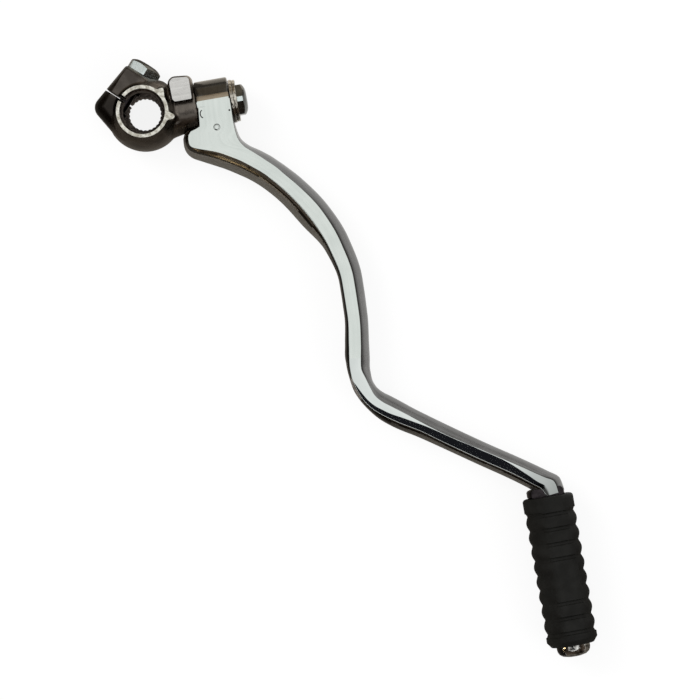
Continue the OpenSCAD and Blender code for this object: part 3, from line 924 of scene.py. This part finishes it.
@dataclass
class LeverArm:
    """Forged arm with its hub, stop nose, face, collar and peg end.

    Attributes:
        step: Distance between the rings of the bar.
        face_z: Height of the ground face at the hub.
        peg_r: Radius of the peg.
        collar_r: Radius of the collar.
        collar_l: Length of the collar.
        button_r: Radius of the end button.
        button_l: Length of the end button.
        lean: Slope of the lower arm's face towards its outer crease.
        edge: Width of the bright strip along the outer crease.
    """

    step: float = 1.1
    face_z: float = 21.1
    peg_r: float = 6.2
    collar_r: float = 8.75
    collar_l: float = 3.8
    button_r: float = 7.3
    button_l: float = 5.2
    lean: float = 0.15
    edge: float = 0.32

    def rows(self) -> np.ndarray:
        """Spaces the stations out evenly, without overshoot between them.

        Returns:
            One row for each ring.
        """
        known = np.array(STATIONS)
        mid = (known[:, 0:2] + known[:, 2:4] + known[:, 4:6] + known[:, 6:8]) / 4
        run = np.concatenate([[0], np.cumsum(np.linalg.norm(np.diff(mid, axis=0), axis=1))])
        gap = np.diff(run)
        slope = np.diff(known, axis=0) / gap[:, None]
        tangent = np.zeros_like(known)
        tangent[0], tangent[-1] = slope[0], slope[-1]
        for i in range(1, len(known) - 1):
            a, b = slope[i - 1], slope[i]
            w1, w2 = 2 * gap[i] + gap[i - 1], gap[i] + 2 * gap[i - 1]
            with np.errstate(divide="ignore", invalid="ignore"):
                mean = (w1 + w2) / (w1 / a + w2 / b)
            tangent[i] = np.where(a * b > 0, mean, 0.0)
        rows = []
        for i in range(len(known) - 1):
            parts = max(1, round(gap[i] / self.step))
            for k in range(parts):
                t = k / parts
                h = gap[i]
                rows.append((2 * t**3 - 3 * t**2 + 1) * known[i] + (t**3 - 2 * t**2 + t) * h * tangent[i]
                            + (3 * t**2 - 2 * t**3) * known[i + 1] + (t**3 - t**2) * h * tangent[i + 1])
        rows.append(known[-1])
        return np.array(rows)

    def ring(self, row: np.ndarray, along: float) -> list[Vector]:
        """Draws one section of the bar.

        Args:
            row: The station.
            along: Its distance from the hub.

        Returns:
            The points of the section: the face from the outer to the inner crease, the inner wall, the back
            and the outer wall.
        """
        outer, left, right, inner = (Vector(row[i:i + 2]) for i in (0, 2, 4, 6))
        top, low = float(row[8]), float(row[9])
        half = (low - top) / 2
        width = (right - left).length
        # From the elbow on, the face is two flats that meet at a share of its width, the fold.
        lean = float(np.interp(along, [149, 153, 240, 248], [0, self.lean, self.lean, self.lean * 0.6]))
        strip = min(self.edge, 0.14 * width) / width
        fold = float(np.interp(along, [149, 158, 168, 178, 191, 222, 238, 249],
                               [strip + 0.04, 0.3, 0.42, 0.62, 0.93, 0.93, 0.45, 0.3]))
        # A slow wave, as a belt grinder leaves it.
        fold += 0.02 * math.sin(along * 0.45) * math.sin(along * 0.17 + 1) * (lean > 0)
        rim = min(0.2 / width, 0.04)
        points = []
        for t in (rim * 0.8, strip, strip + 0.02, (strip + fold) / 2, fold - 0.012, fold + 0.012, 1 - rim):
            drop = lean * width * (max(0.0, fold - t) + 1.3 * max(0.0, strip - t))
            points.append(Vector((*(left + (right - left) * t), top - drop)))
        drop = lean * width * (max(0.0, fold) + 1.3 * strip)
        points += [Vector((*(right + (inner - right) * s), top + half * h)) for s, h in INNER_SIDE]
        points += [Vector((*(left + (outer - left) * s), top - drop * max(0.0, 1 - h) + half * h))
                   for s, h in reversed(OUTER_SIDE)]
        return points

    def bar(self) -> tuple[bpy.types.Object, KDTree, np.ndarray]:
        """Builds the bar of the arm from the hub to the peg.

        Returns:
            The bar, a tree of its points, and for each of them its distance along and its place across.
        """
        rows = self.rows()
        mid = (rows[:, 2:4] + rows[:, 4:6]) / 2
        run = np.concatenate([[0], np.cumsum(np.linalg.norm(np.diff(mid, axis=0), axis=1))])
        rings = [self.ring(row, along) for row, along in zip(rows, run)]
        made = Bench.loft("bar", rings)
        flat = [p for ring in rings for p in ring]
        tree = KDTree(len(flat))
        for i, p in enumerate(flat):
            tree.insert(p, i)
        tree.balance()
        facts = [(along, j, *middle) for along, ring, middle in zip(run, rings, mid) for j in range(len(ring))]
        return made, tree, np.array(facts)

    def painted_shade(self, along: float, j: int, high: float) -> float:
        """Says how much painted shade darkens a point of the bar: dark reflections at the end of the lower face and on
        the outer wall, and dark lines along the creases.

        Args:
            along: Distance from the hub.
            j: Number of the point in its section.
            high: Not used.

        Returns:
            0 for none, 1 for darkest.
        """
        if j < FACE_POINTS:
            if along > 241 and j in (2, 3):
                return 0.95
            return float(np.interp(along, [226, 238, 250], [0, 0.3, 0.5]))
        if j < FACE_POINTS + SIDE_POINTS:
            line = float(np.interp(along, [20, 60, 80, 147, 153, 238, 242], [0.25, 0.4, 0.95, 0.95, 0.15, 0.15, 0.95]))
            away = float(np.interp(along, [146, 150, 230, 238], [0, 0.28, 0.2, 0]))
            down = (line, line, line * 0.3 + away * 0.3, away)
            return down[j - FACE_POINTS] if j < FACE_POINTS + len(down) else 0.0
        if along > 172 and j in (SECTION - 3, SECTION - 2):
            return 0.75
        return float(np.interp(along, [84, 100, 146, 148.5, 156.5, 159, 172, 190],
                               [0, 0.95, 0.95, 0, 0, 0.8, 0.7, 0.3]))

    @staticmethod
    def marks() -> list[Point]:
        """Places the small crescent mark beside the hub's edge and the pit across from it.

        Returns:
            X, Y and radius of each dent.
        """
        bend = [(25.6 + 1.3 * math.cos(math.radians(a)), -5.3 + 1.7 * math.sin(math.radians(a)), 0.25)
                for a in range(112, 250, 9)]
        return [*bend, (37.0, -5.6, 0.42)]

    def peg(self) -> bpy.types.Object:
        """Turns the peg with its collar and end button, the collar ground flush with the arm.

        Returns:
            The peg.
        """
        end, collar = self.button_l + PEG.length, self.collar_r
        turned = [(0, 0), (3.2, 0.12), (5.2, 0.6), (6.5, 1.5), (7.1, 2.6), (self.button_r, 3.6),
                  (self.button_r, self.button_l), (self.peg_r, self.button_l), (self.peg_r, end), (collar - 0.8, end),
                  (collar, end + 0.6), (collar, end + 2.8), (collar - 0.5, end + 3.5),
                  (collar - 1.4, end + self.collar_l), (0, end + self.collar_l)]
        shaft = Bench.lathe("peg", turned, PEG.at(PEG.top - PEG.length - self.button_l))
        flush = [(130, -194.5), (158, -194.5), (158, -186), (130, -186)]
        Bench.work(shaft, Bench.prism("flush", flush, 16.4, 30), Cut.AWAY)
        beside = [(151.6, -193.7), (158, -193.7), (158, -186), (151.6, -186)]
        return Bench.work(shaft, Bench.prism("beside", beside, -5, 30), Cut.AWAY)

    def forge(self, arm: bpy.types.Object) -> None:
        """Joins hub and peg to the bar, and cuts the bore, the seat of the nose and the dents.

        Args:
            arm: The bar.
        """
        barrel = [(0, 0), (10.3, 0), (10.7, 0.2), (PIVOT.hub_r, 0.7), (PIVOT.hub_r, 13.8), (10.7, 14.3), (10.3, 14.5),
                  (0, 14.5)]
        Bench.work(arm, Bench.lathe("barrel", barrel, PIVOT.at(PIVOT.hub_x), 128), Cut.JOINED)
        Bench.work(arm, self.peg(), Cut.JOINED)
        clear = [(0, -20), (11.2, -20), (11.2, 0), (6.05, 0), (6.05, 14.55), (10, 14.55), (10, 24), (0, 24)]
        Bench.work(arm, Bench.lathe("clear", clear, PIVOT.at(PIVOT.hub_x)), Cut.AWAY)
        seat_cut = [(8.8, -27.2), (22.7, -27.2), (22.7, -5.2), (8.8, -5.2)]
        Bench.work(arm, Bench.prism("seat_cut", seat_cut, -1, 3), Cut.AWAY)
        punch = [(0.8, 0.6), (0.86, 0.0), (1.0, -0.5), (1.25, -0.55), (1.45, -0.1), (1.6, 0.6)]
        at = Matrix.Translation((30.4, -11.9, self.face_z))
        Bench.work(arm, Bench.lathe("punch", punch, at, 40), Cut.AWAY)
        for x, y, r in self.marks():
            Bench.work(arm, Bench.prism("mark", circle(x, y, r, 12), self.face_z - 0.25, 24), Cut.AWAY)

    def plate(self, arm: bpy.types.Object, tree: KDTree, facts: np.ndarray) -> None:
        """Marks how the grain of the plating runs along the bar, and how much painted shade darkens it.

        Args:
            arm: The arm.
            tree: Tree of the bar's points.
            facts: For each of them its distance along, its place across and the middle of its section.
        """
        corners = Bench.points(arm)
        found = [tree.find(Vector(p)) for p in corners]
        fact = np.array([facts[j] for _, j, _ in found])
        ahead = [min(j + SECTION, len(facts) - 1) for _, j, _ in found]
        behind = [max(j - SECTION, 0) for _, j, _ in found]
        lead = facts[ahead, 2:] - facts[behind, 2:]
        lead /= np.maximum(np.linalg.norm(lead, axis=1), 1e-6)[:, None]
        off = corners[:, :2] - fact[:, 2:]
        beyond, aside = (off * lead).sum(axis=1), off[:, 0] * lead[:, 1] - off[:, 1] * lead[:, 0]
        Bench.mark(arm, "flow", np.column_stack([fact[:, 0] + beyond, aside, corners[:, 2]]) * MM)
        # Painted shade: dark reflections on the outer wall and the lower face, dark lines along the creases.
        painted_shade = [self.painted_shade(along, int(j), p[2]) if gap < 4 and p[1] > -196 else 0.0
                 for (along, j, *_), (_, _, gap), p in zip(fact, found, corners)]
        Bench.mark(arm, "painted_shade", np.array(painted_shade))

    @staticmethod
    def skins(tree: KDTree, facts: np.ndarray, at: np.ndarray, normal: np.ndarray) -> np.ndarray:
        """Gives each face its finish, by its nearest point of the bar.

        Args:
            tree: Tree of the bar's points.
            facts: Facts of those points.
            at: Middles of the faces.
            normal: Their normals.

        Returns:
            The slots.
        """
        slot = np.full(len(at), int(ArmSkin.WALL))
        for i, (p, n) in enumerate(zip(at, normal)):
            _, j, gap = tree.find(Vector(p))
            along, place = facts[j][0], facts[j][1]
            x, y, z = p
            up = n[2]
            inner_side = FACE_POINTS - 1 < place < FACE_POINTS + SIDE_POINTS
            outer_side = place >= FACE_POINTS + SIDE_POINTS
            on_collar = y < -189.5 and z < 16.55 and (gap > 0.9 or (up > 0.995 and z < 16.42))
            in_dent = up > 0.9 and 20.8 < z < 20.9 and y > -9
            on_face = up > 0.85 and z > 15.2 and y < HUB_EDGE
            low_side = outer_side and place < (31 if along < 100 else 32)
            # The collar's side towards -X and the bottoms of the marks get the near-black painted shadow.
            if on_collar:
                slot[i] = ArmSkin.PAINTED_DARK if x < 147 else ArmSkin.INNER
            elif in_dent:
                slot[i] = ArmSkin.PAINTED_DARK
            elif on_face:
                slot[i] = ArmSkin.FACE if along < 140 else ArmSkin.LOWER_FACE
            elif inner_side and y < -14:
                slot[i] = ArmSkin.INNER
            # The upper part of the elbow's outer wall gets the painted highlight.
            elif outer_side and 149.5 < along < 157 and z > 14:
                slot[i] = ArmSkin.ELBOW
            # The lower band of the outer wall gets the lighter chrome, a painted reflection.
            elif low_side and (8 < along < 100 or along > 172):
                slot[i] = ArmSkin.UNDER
        x, y, z = at.T
        button = y < PEG.top - PEG.length + 0.4
        slot[(y > HUB_EDGE) & (y < 2.3) & (z > 20)] = ArmSkin.HUB_TOP
        slot[y < PEG.top - 0.2] = ArmSkin.WALL
        # The end button's top: dented chrome with painted reflections.
        slot[button & (normal[:, 2] > 0.25)] = ArmSkin.BUTTON
        # The end button's side towards -X in near-black painted shadow.
        slot[button & (x < 140.5) & (normal[:, 2] < 0.7)] = ArmSkin.PAINTED_DARK
        return slot

    def build(self) -> None:
        """Builds the arm and seats it."""
        arm, tree, facts = self.bar()
        self.forge(arm)
        Bench.finish(arm, 24)
        self.plate(arm, tree, facts)
        Bench.paint(arm, [GROUND, WALL, INNER, MIRROR, WORN, DENTED_PAINTED_REFLECTION, PAINTED_SHADOW, UNDER, PAINTED_HIGHLIGHT],
                    partial(self.skins, tree, facts))
        arm.name = "lever_arm_forging"
        seat(arm, Body.ARM, "arm_chrome", "lever_arm")


# The pedal rubber


@dataclass
class PedalRubber:
    """Ribbed rubber sleeve of the pedal, with a flatter front.

    Attributes:
        radius: Radius over the ribs.
        steps: Steps round the sleeve.
        groove: Depth of the grooves.
        groove_w: Width of a groove.
        pitch: Distance from rib to rib.
        last: Number of the last groove, counted from 0.
        band: Plain band at the top.
        bare: Numbers between which the front panel has no grooves.
        flat: How far the front is flattened.
        turn: Direction of the flat from straight up, in degrees towards +X.
    """

    radius: float = 11.1
    steps: int = 128
    groove: float = 1.0
    groove_w: float = 1.7
    pitch: float = 6.5
    last: int = 8
    band: float = 7.6
    bare: tuple[float, float] = (3.6, 5.4)
    flat: float = 0.7
    turn: float = 10.0

    def depth(self, s: float, front: float) -> float:
        """Depth below the rib tops at a distance from the top end.

        Args:
            s: Distance from the top end.
            front: 0 away from the front panel, 1 on it.

        Returns:
            The depth in millimetres.
        """
        end = PEG.length - s
        round_off = 0.0
        if s < 1.4:
            round_off = 1.4 - math.sqrt(max(0.0, 1.4**2 - (1.4 - s) ** 2))
        if end < 2.2:
            round_off = max(round_off, (2.2 - end) * 0.75)
        place = (s - self.band) / self.pitch
        if place < -0.2 or place > self.last + 0.2:
            return round_off
        near = min(max(round(place), 0), self.last)
        off = abs(place - near) * self.pitch
        bare = self.bare[0] < place < self.bare[1] and self.bare[0] < near < self.bare[1]
        rib = 0.5 - 0.5 * math.cos(math.pi * min(1.0, off / (self.pitch / 2)))
        soft = self.groove * (1 - rib**0.55)
        slot_d = self.groove * 0.75 * (1 - min(1.0, max(0.0, (off - self.groove_w * 0.36) / 0.25)))
        crisp = 0.0 if bare else slot_d
        return max(round_off, soft * (1 - front) + crisp * front)

    def build(self) -> None:
        """Builds the rubber and seats it."""
        heights = [0.0, 0.15, 0.4, 0.8, 1.4, *np.arange(2.0, PEG.length - 2.4, 0.26)]
        heights += [PEG.length - 2.2, PEG.length - 1.5, PEG.length - 0.7, PEG.length]
        rings = []
        for s in heights:
            ring = []
            for k in range(self.steps):
                a = math.tau * k / self.steps
                own = a - math.radians(self.turn)
                off = abs(math.degrees(math.atan2(math.sin(own), math.cos(own))))
                front = max(0.0, min(1.0, (38.0 - off) / 7.0))
                back = max(0.0, min(1.0, (38.0 - abs(off - 180)) / 7.0))
                r = self.radius - self.depth(s, max(front, back))
                limit = (self.radius - self.flat) / max(0.2, math.cos(math.radians(off)))
                if off < 60:
                    r = min(r, limit - (self.depth(s, 1.0) if front > 0.5 else 0.0))
                ring.append(Vector((PEG.x + r * math.sin(a), PEG.top - s, PEG.z + r * math.cos(a))))
            rings.append(ring)
        sleeve = Bench.loft("rubber", rings)
        hole = [(0, -2), (6.24, -2), (6.24, PEG.length + 2), (0, PEG.length + 2)]
        Bench.work(sleeve, Bench.lathe("hole", hole, PEG.at(PEG.top - PEG.length), 64), Cut.AWAY)
        Bench.finish(sleeve, 38)
        Bench.paint(sleeve, [PEDAL])
        sleeve.name = "pedal_rubber_sleeve"
        seat(sleeve, Body.ARM, "pedal_rubber", "pedal_rubber")


# Fasteners


@dataclass
class Fasteners:
    """Pinch bolt, pivot bolt and the two washers.

    Attributes:
        pinch_af: Across flats of the pinch bolt.
        pinch_head: Height of its head.
        pinch_turn: Turn of its head in degrees.
        pinch_seat: Seat of its head along the bolt.
        pivot_af: Across flats of the pivot bolt.
        pivot_head: Height of its head.
        bolt_r: Thread radius of both bolts.
        waist_r: Radius of the pinch bolt's waist.
        thread_pitch: Distance from groove to groove of the threads.
    """

    pinch_af: float = 14.0
    pinch_head: float = 5.1
    pinch_turn: float = 39.0
    pinch_seat: float = 13.8
    pivot_af: float = 13.0
    pivot_head: float = 4.1
    bolt_r: float = 4.0
    waist_r: float = 2.6
    thread_pitch: float = 1.2

    def head(self, name: str, af: float, height: float, turn: float, seat_at: float,
             place: Matrix) -> bpy.types.Object:
        """Builds a hexagon head with a washer face and a turned top.

        Args:
            name: Name of the object.
            af: Across flats.
            height: Height of the head.
            turn: Turn of the hexagon in degrees.
            seat_at: Height of the seat along the bolt.
            place: The bolt's place.

        Returns:
            The head.
        """
        corner = 1.1 if af < 13.5 else 0.35
        reach = af / math.sqrt(3) - corner / math.cos(math.radians(30))
        hexagon = []
        for k in range(6):
            a = math.radians(turn + 60 * k)
            hexagon += [(reach * math.cos(a) + corner * math.cos(a + math.radians(b)),
                         reach * math.sin(a) + corner * math.sin(a + math.radians(b))) for b in (-30, -10, 10, 30)]
        block = Bench.prism(name, hexagon, seat_at, seat_at + height, place)
        turned = [(0, 0), (af * 0.59, 0), (af * 0.6, 0.3), (af * 0.6, height - 2.2), (af * 0.55, height - 1.8),
                  (af * 0.50, height - 1.35), (af * 0.44, height - 0.8), (af * 0.37, height - 0.35),
                  (af * 0.28, height - 0.08), (af * 0.2, height), (0, height)]
        round_top = Bench.lathe("turned", [(r, z + seat_at) for r, z in turned], place)
        return Bench.work(block, round_top, Cut.SHARED)

    def shank(self, name: str, rows: list[tuple[float, float]], thread: tuple[float, float],
              place: Matrix) -> bpy.types.Object:
        """Builds a shank with turned thread grooves.

        Args:
            name: Name of the object.
            rows: Radius and height of the shank.
            thread: Low and high end of the thread.
            place: The bolt's place.

        Returns:
            The shank.
        """
        done: list[tuple[float, float]] = []
        for (r0, z0), (r1, z1) in zip(rows, rows[1:]):
            done.append((r0, z0))
            low, high = max(z0, thread[0]), min(z1, thread[1])
            if r0 == r1 == self.bolt_r and high - low > self.thread_pitch:
                for k in range(int((high - low) / self.thread_pitch)):
                    z = low + self.thread_pitch * k
                    done += [(r0, z + 0.15), (r0 - 0.55, z + 0.6), (r0, z + 1.05)]
        done.append(rows[-1])
        return Bench.lathe(name, done, place, 48)

    def washer(self, name: str, x: float, radius: float, thick: float, edge: float) -> bpy.types.Object:
        """Builds a flat washer on the pivot.

        Args:
            name: Name of the object.
            x: Where it starts along the pivot.
            radius: Outer radius.
            thick: Thickness.
            edge: How far its edges are rounded.

        Returns:
            The washer.
        """
        soft = edge * 0.3
        rows = [(4.2, 0.2), (4.4, 0), (radius - edge, 0), (radius - soft, soft), (radius, edge), (radius, thick - edge),
                (radius - soft, thick - soft), (radius - edge, thick), (4.4, thick), (4.2, thick - 0.2)]
        return Bench.lathe(name, rows, PIVOT.at(x))

    @staticmethod
    def pinch_skins(at: np.ndarray, normal: np.ndarray) -> np.ndarray:
        """Gives 0 to the facets of the pinch bolt's head, 1 to its top, darker zinc as painted shade, and 2 to what is
        below the head, in near-black painted shadow.

        Args:
            at: Middles of the faces.
            normal: Their normals.

        Returns:
            The slots.
        """
        back = PINCH.inverted()
        turned = back.to_3x3()
        slot = np.array([(turned @ Vector(n)).z > 0.2 for n in normal]).astype(int)
        slot[np.array([(back @ Vector(p)).z for p in at]) < 13.7] = 2
        return slot

    @staticmethod
    def pivot_skins(at: np.ndarray, normal: np.ndarray) -> np.ndarray:
        """Gives 1 to the worn flat of the pivot bolt's head, whose brighter zinc is a painted highlight, and 0 to the
        rest.
        """
        return ((normal[:, 2] > 0.9) & (at[:, 2] > 17)).astype(int)

    def pinch_bolt(self) -> bpy.types.Object:
        """Builds the pinch bolt with its waist.

        Returns:
            The bolt.
        """
        bolt = self.head("pinch", self.pinch_af, self.pinch_head, self.pinch_turn, self.pinch_seat, PINCH)
        full, waist, top = self.bolt_r, self.waist_r, self.pinch_seat + 0.3
        stem = [(0, -12.4), (3.3, -12.4), (full, -11.6), (full, -4.9), (waist, -4.7), (waist, 4.7), (full, 4.9),
                (full, top), (0, top)]
        return Bench.work(bolt, self.shank("stem", stem, (-11.5, -5.0), PINCH), Cut.JOINED)

    def pivot_bolt(self) -> bpy.types.Object:
        """Builds the pivot bolt with the worn corner of its head.

        Returns:
            The bolt.
        """
        at = PIVOT.at(PIVOT.post_x + PIVOT.washer_t + PIVOT.lock_t)
        bolt = self.head("pivot", self.pivot_af, self.pivot_head, 0, 0, at)
        Bench.work(bolt, Bench.prism("worn", [(40, -9), (50, -9), (50, 7), (40, 7)], PIVOT.z + 6.9, 30), Cut.AWAY)
        stem = [(0, -14.7), (3.3, -14.7), (self.bolt_r, -13.9), (self.bolt_r, 0.3), (0, 0.3)]
        return Bench.work(bolt, self.shank("stem", stem, (-13.8, -3.5), at), Cut.JOINED)

    def build(self) -> None:
        """Builds the fasteners and seats them."""
        for piece, name, node, finishes, skins in (
                (self.pinch_bolt(), "pinch_bolt_m8", "pinch_bolt", [ZINC, DARK_BOLT, PAINTED_SHADOW], self.pinch_skins),
                (self.pivot_bolt(), "pivot_bolt_m8", "pivot_bolt", [DARK_BOLT, ZINC], self.pivot_skins)):
            Bench.finish(piece, 25)
            Bench.paint(piece, finishes, skins)
            piece.name = name
            seat(piece, Body.CLAMP, "bolt_zinc", node)
        flat = self.washer("pivot_washer_flat", PIVOT.post_x, PIVOT.washer_r, PIVOT.washer_t, 0.3)
        lock = self.washer("spring_washer_split", PIVOT.post_x + PIVOT.washer_t, PIVOT.washer_r - 0.3, PIVOT.lock_t,
                           0.35)
        gap = [(0, -0.4), (20, -0.4), (20, 0.4), (0, 0.4)]
        turn = PIVOT.at(PIVOT.post_x) @ Matrix.Rotation(math.radians(60), 4, "Z")
        Bench.work(lock, Bench.prism("gap", gap, -1, 5, turn), Cut.AWAY)
        for piece, node in ((flat, "pivot_washer"), (lock, "spring_washer")):
            Bench.finish(piece, 40)
            Bench.paint(piece, [STEEL])
            seat(piece, Body.CLAMP, "washer_steel", node)


@dataclass
class Detent:
    """Ball and spring of the detent, which keep their CAD shapes.

    Attributes:
        nodes: Their CAD nodes.
    """

    nodes: tuple[str, ...] = ("detent_ball", "detent_spring")

    def build(self) -> None:
        """Dresses the two CAD nodes."""
        for node in self.nodes:
            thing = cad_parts[node]
            thing.data.materials.clear()
            thing.data.materials.append(Palette.material(SPRING))
            log.info("%s dressed as it is", node)


# The studio


class Tone(Enum):
    """Colours of the cards that the chrome mirrors."""

    PALE = (0.8, 0.79, 0.77)
    WARM = (0.95, 0.88, 0.78)
    TAN = (0.42, 0.36, 0.28)
    FLOOR = (0.2, 0.18, 0.155)
    BROWN = (0.07, 0.052, 0.04)
    BLACK = (0.012, 0.012, 0.015)
    GOLD = (42.0, 31.0, 17.5)


@dataclass
class Studio:
    """White table, soft lamps, cards for the chrome, and the camera.

    Attributes:
        aim: Point of the table that the camera stands over, in millimetres.
        distance: Height of the camera over the middle of the part.
        roll: Turn of the picture in degrees.
        view_w: Width of the picture at the part.
        ambient: Strength of the sky on plain surfaces.
        glow: How bright the table is to the camera by itself.
        middle: Middle of the ring of cards.
        ring_r: Radius of that ring.
        cards: Number of cards in it.
    """

    aim: tuple[float, float] = (70.6, -116.6)
    distance: float = 1400.0
    roll: float = 9.85
    view_w: float = 304.3
    ambient: float = 0.62
    glow: float = 0.87
    middle: tuple[float, float] = (70.0, -117.0)
    ring_r: float = 2000.0
    cards: int = 36

    @staticmethod
    def seen(nodes: Nodes) -> bpy.types.NodeSocket:
        """Gives 1 for camera, glossy and transmission rays.

        Args:
            nodes: The node tree.

        Returns:
            The socket.
        """
        path = nodes.put("LightPath")
        socket = path.outputs["Is Camera Ray"]
        for name in ("Is Glossy Ray", "Is Transmission Ray"):
            socket = nodes.put("Math", {0: socket, 1: path.outputs[name]}, operation="MAXIMUM").outputs[0]
        return socket

    def sky(self) -> None:
        """Makes the plain white surroundings."""
        world = bpy.data.worlds.new("studio")
        bpy.context.scene.world = world
        nodes = Nodes(world, bare=True)
        plain, bright = (nodes.put("Background", {"Color": (1, 1, 1, 1), "Strength": strength}).outputs[0]
                         for strength in (self.ambient, 1.0))
        mix = nodes.put("MixShader", {0: self.seen(nodes), 1: plain, 2: bright})
        nodes.put("OutputWorld", {"Surface": mix.outputs[0]})

    def table(self) -> None:
        """Makes the white table, which keeps the shadow."""
        top = Bench.prism("table", [(-2500, -2700), (2650, -2700), (2650, 2500), (-2500, 2500)], -3, -0.2)
        mat = bpy.data.materials.new("white_table")
        nodes = Nodes(mat, bare=True)
        plain, soft = (nodes.put("BsdfDiffuse", {"Color": (tone, tone, tone, 1)}).outputs[0] for tone in (0.8, 0.17))
        glow = nodes.put("Emission", {"Strength": self.glow}).outputs[0]
        both = nodes.put("AddShader", {0: soft, 1: glow}).outputs[0]
        mix = nodes.put("MixShader", {0: self.seen(nodes), 1: plain, 2: both})
        nodes.put("OutputMaterial", {"Surface": mix.outputs[0]})
        top.data.materials.append(mat)

    def lamp(self, name: str, at: Point, size: float, watts: float, tint: Point) -> None:
        """Hangs a soft square lamp that faces the part.

        Args:
            name: Name of the lamp.
            at: Its place in metres.
            size: Side length in metres.
            watts: Power.
            tint: Colour.
        """
        data = bpy.data.lights.new(name, "AREA")
        data.size, data.energy, data.color = size, watts, tint
        lamp = bpy.data.objects.new(name, data)
        lamp.location = at
        lamp.rotation_euler = (Vector((0.07, -0.12, 0.0)) - Vector(at)).to_track_quat("-Z", "Y").to_euler()
        lamp.visible_glossy = False
        bpy.context.scene.collection.objects.link(lamp)

    def card(self, name: str, corners: Sequence[Sequence[float]], tone: Tone) -> None:
        """Stands a card that only the chrome sees.

        Args:
            name: Name of the card.
            corners: Its corners in millimetres.
            tone: Its colour.
        """
        card = Bench.lay(Bench.mesh(name, corners, [range(len(corners))]))
        mat = bpy.data.materials.new(name)
        nodes = Nodes(mat, bare=True)
        glow = nodes.put("Emission", {"Color": (*tone.value, 1)})
        nodes.put("OutputMaterial", {"Surface": glow.outputs[0]})
        card.data.materials.append(mat)
        card.visible_camera = card.visible_diffuse = card.visible_shadow = card.visible_transmission = False

    def upright(self, name: str, left: Vector, right: Vector, low: float, high: float, tone: Tone) -> None:
        """Stands an upright card between two points."""
        self.card(name, [(*left, low), (*right, low), (*right, high), (*left, high)], tone)

    def flat(self, name: str, corners: Sequence[Sequence[float]], z: float, tone: Tone) -> None:
        """Lays a level card at a height."""
        self.card(name, [(x, y, z) for x, y in corners], tone)

    def ring(self) -> None:
        """Stands the ring of cards round the table, pale behind the hub and dark elsewhere."""
        step = 360 / self.cards

        def on_ring(turn: float) -> Vector:
            """Gives the point of the ring at a turn in degrees."""
            a = math.radians(turn)
            return Vector(self.middle) + Vector((math.cos(a), math.sin(a))) * self.ring_r

        for k in range(self.cards):
            turn = step * (k + 0.5)
            tone = Tone.PALE if turn < 72 or turn > 350 else Tone.TAN if turn < 130 else Tone.BROWN
            top = 1500 if 110 < turn < 170 else 2300
            self.upright(f"flag_{k}", on_ring(turn - step / 2), on_ring(turn + step / 2), 0, top, tone)

    def near_cards(self) -> None:
        """Places the gold card for the root's wall, the black one over the lower arm and those on the table."""
        aim = Vector((math.cos(math.radians(236)), math.sin(math.radians(236))))
        at, side = Vector((36, -33)) + aim * 350, Vector((-aim.y, aim.x)) * 2.5
        self.upright("gold_card", at + side, at - side, 90, 150, Tone.GOLD)
        mid, out, side = Vector((-55.0, -440.0)), Vector((-0.577, -0.813)), Vector((0.813, -0.577)) * 430
        over = [mid + out * u + side * v for u, v in ((-115, -1), (150, -1), (150, 1), (-115, 1))]
        self.flat("flag_over", over, 1000.0, Tone.BLACK)
        self.flat("floor_dark", [(-600, -700), (800, -700), (800, 600), (-600, 600)], -0.16, Tone.FLOOR)
        self.flat("floor_hub", [(22, 9), (60, 9), (60, 60), (22, 60)], -0.14, Tone.WARM)
        inside = [row[6:8] for row in STATIONS[:1] + STATIONS[4:]]
        self.flat("floor_pale", [*inside, (400, -194), (400, 8), (39, 8)], -0.12, Tone.PALE)

    def camera(self) -> None:
        """Stands the camera as the photograph was taken."""
        data = bpy.data.cameras.new("camera")
        data.sensor_width = 36.0
        data.lens = data.sensor_width * self.distance / self.view_w
        data.clip_start, data.clip_end = 0.01, 20.0
        eye = bpy.data.objects.new("camera", data)
        eye.location = (self.aim[0] * MM, self.aim[1] * MM, (self.distance + 12.5) * MM)
        eye.rotation_euler = (0, 0, -math.radians(self.roll))
        bpy.context.scene.collection.objects.link(eye)
        bpy.context.scene.camera = eye

    def build(self) -> None:
        """Sets the whole studio up."""
        self.sky()
        self.table()
        self.lamp("key", (-1.1, 1.0, 1.5), 0.9, 14.0, (1.0, 0.985, 0.96))
        self.lamp("fill", (1.3, -1.2, 1.3), 0.9, 6.0, (0.97, 0.985, 1.0))
        self.ring()
        self.near_cards()
        self.camera()
        bpy.context.scene.view_settings.view_transform = "Standard"
        log.info("studio is up")


def main() -> None:
    """Builds the part and the studio."""
    logging.basicConfig(level=logging.INFO, format="%(name)s: %(message)s")
    for thing in (Boss(), LeverArm(), PedalRubber(), Fasteners(), Detent(), Studio()):
        thing.build()


if __name__ == "__main__":
    main()
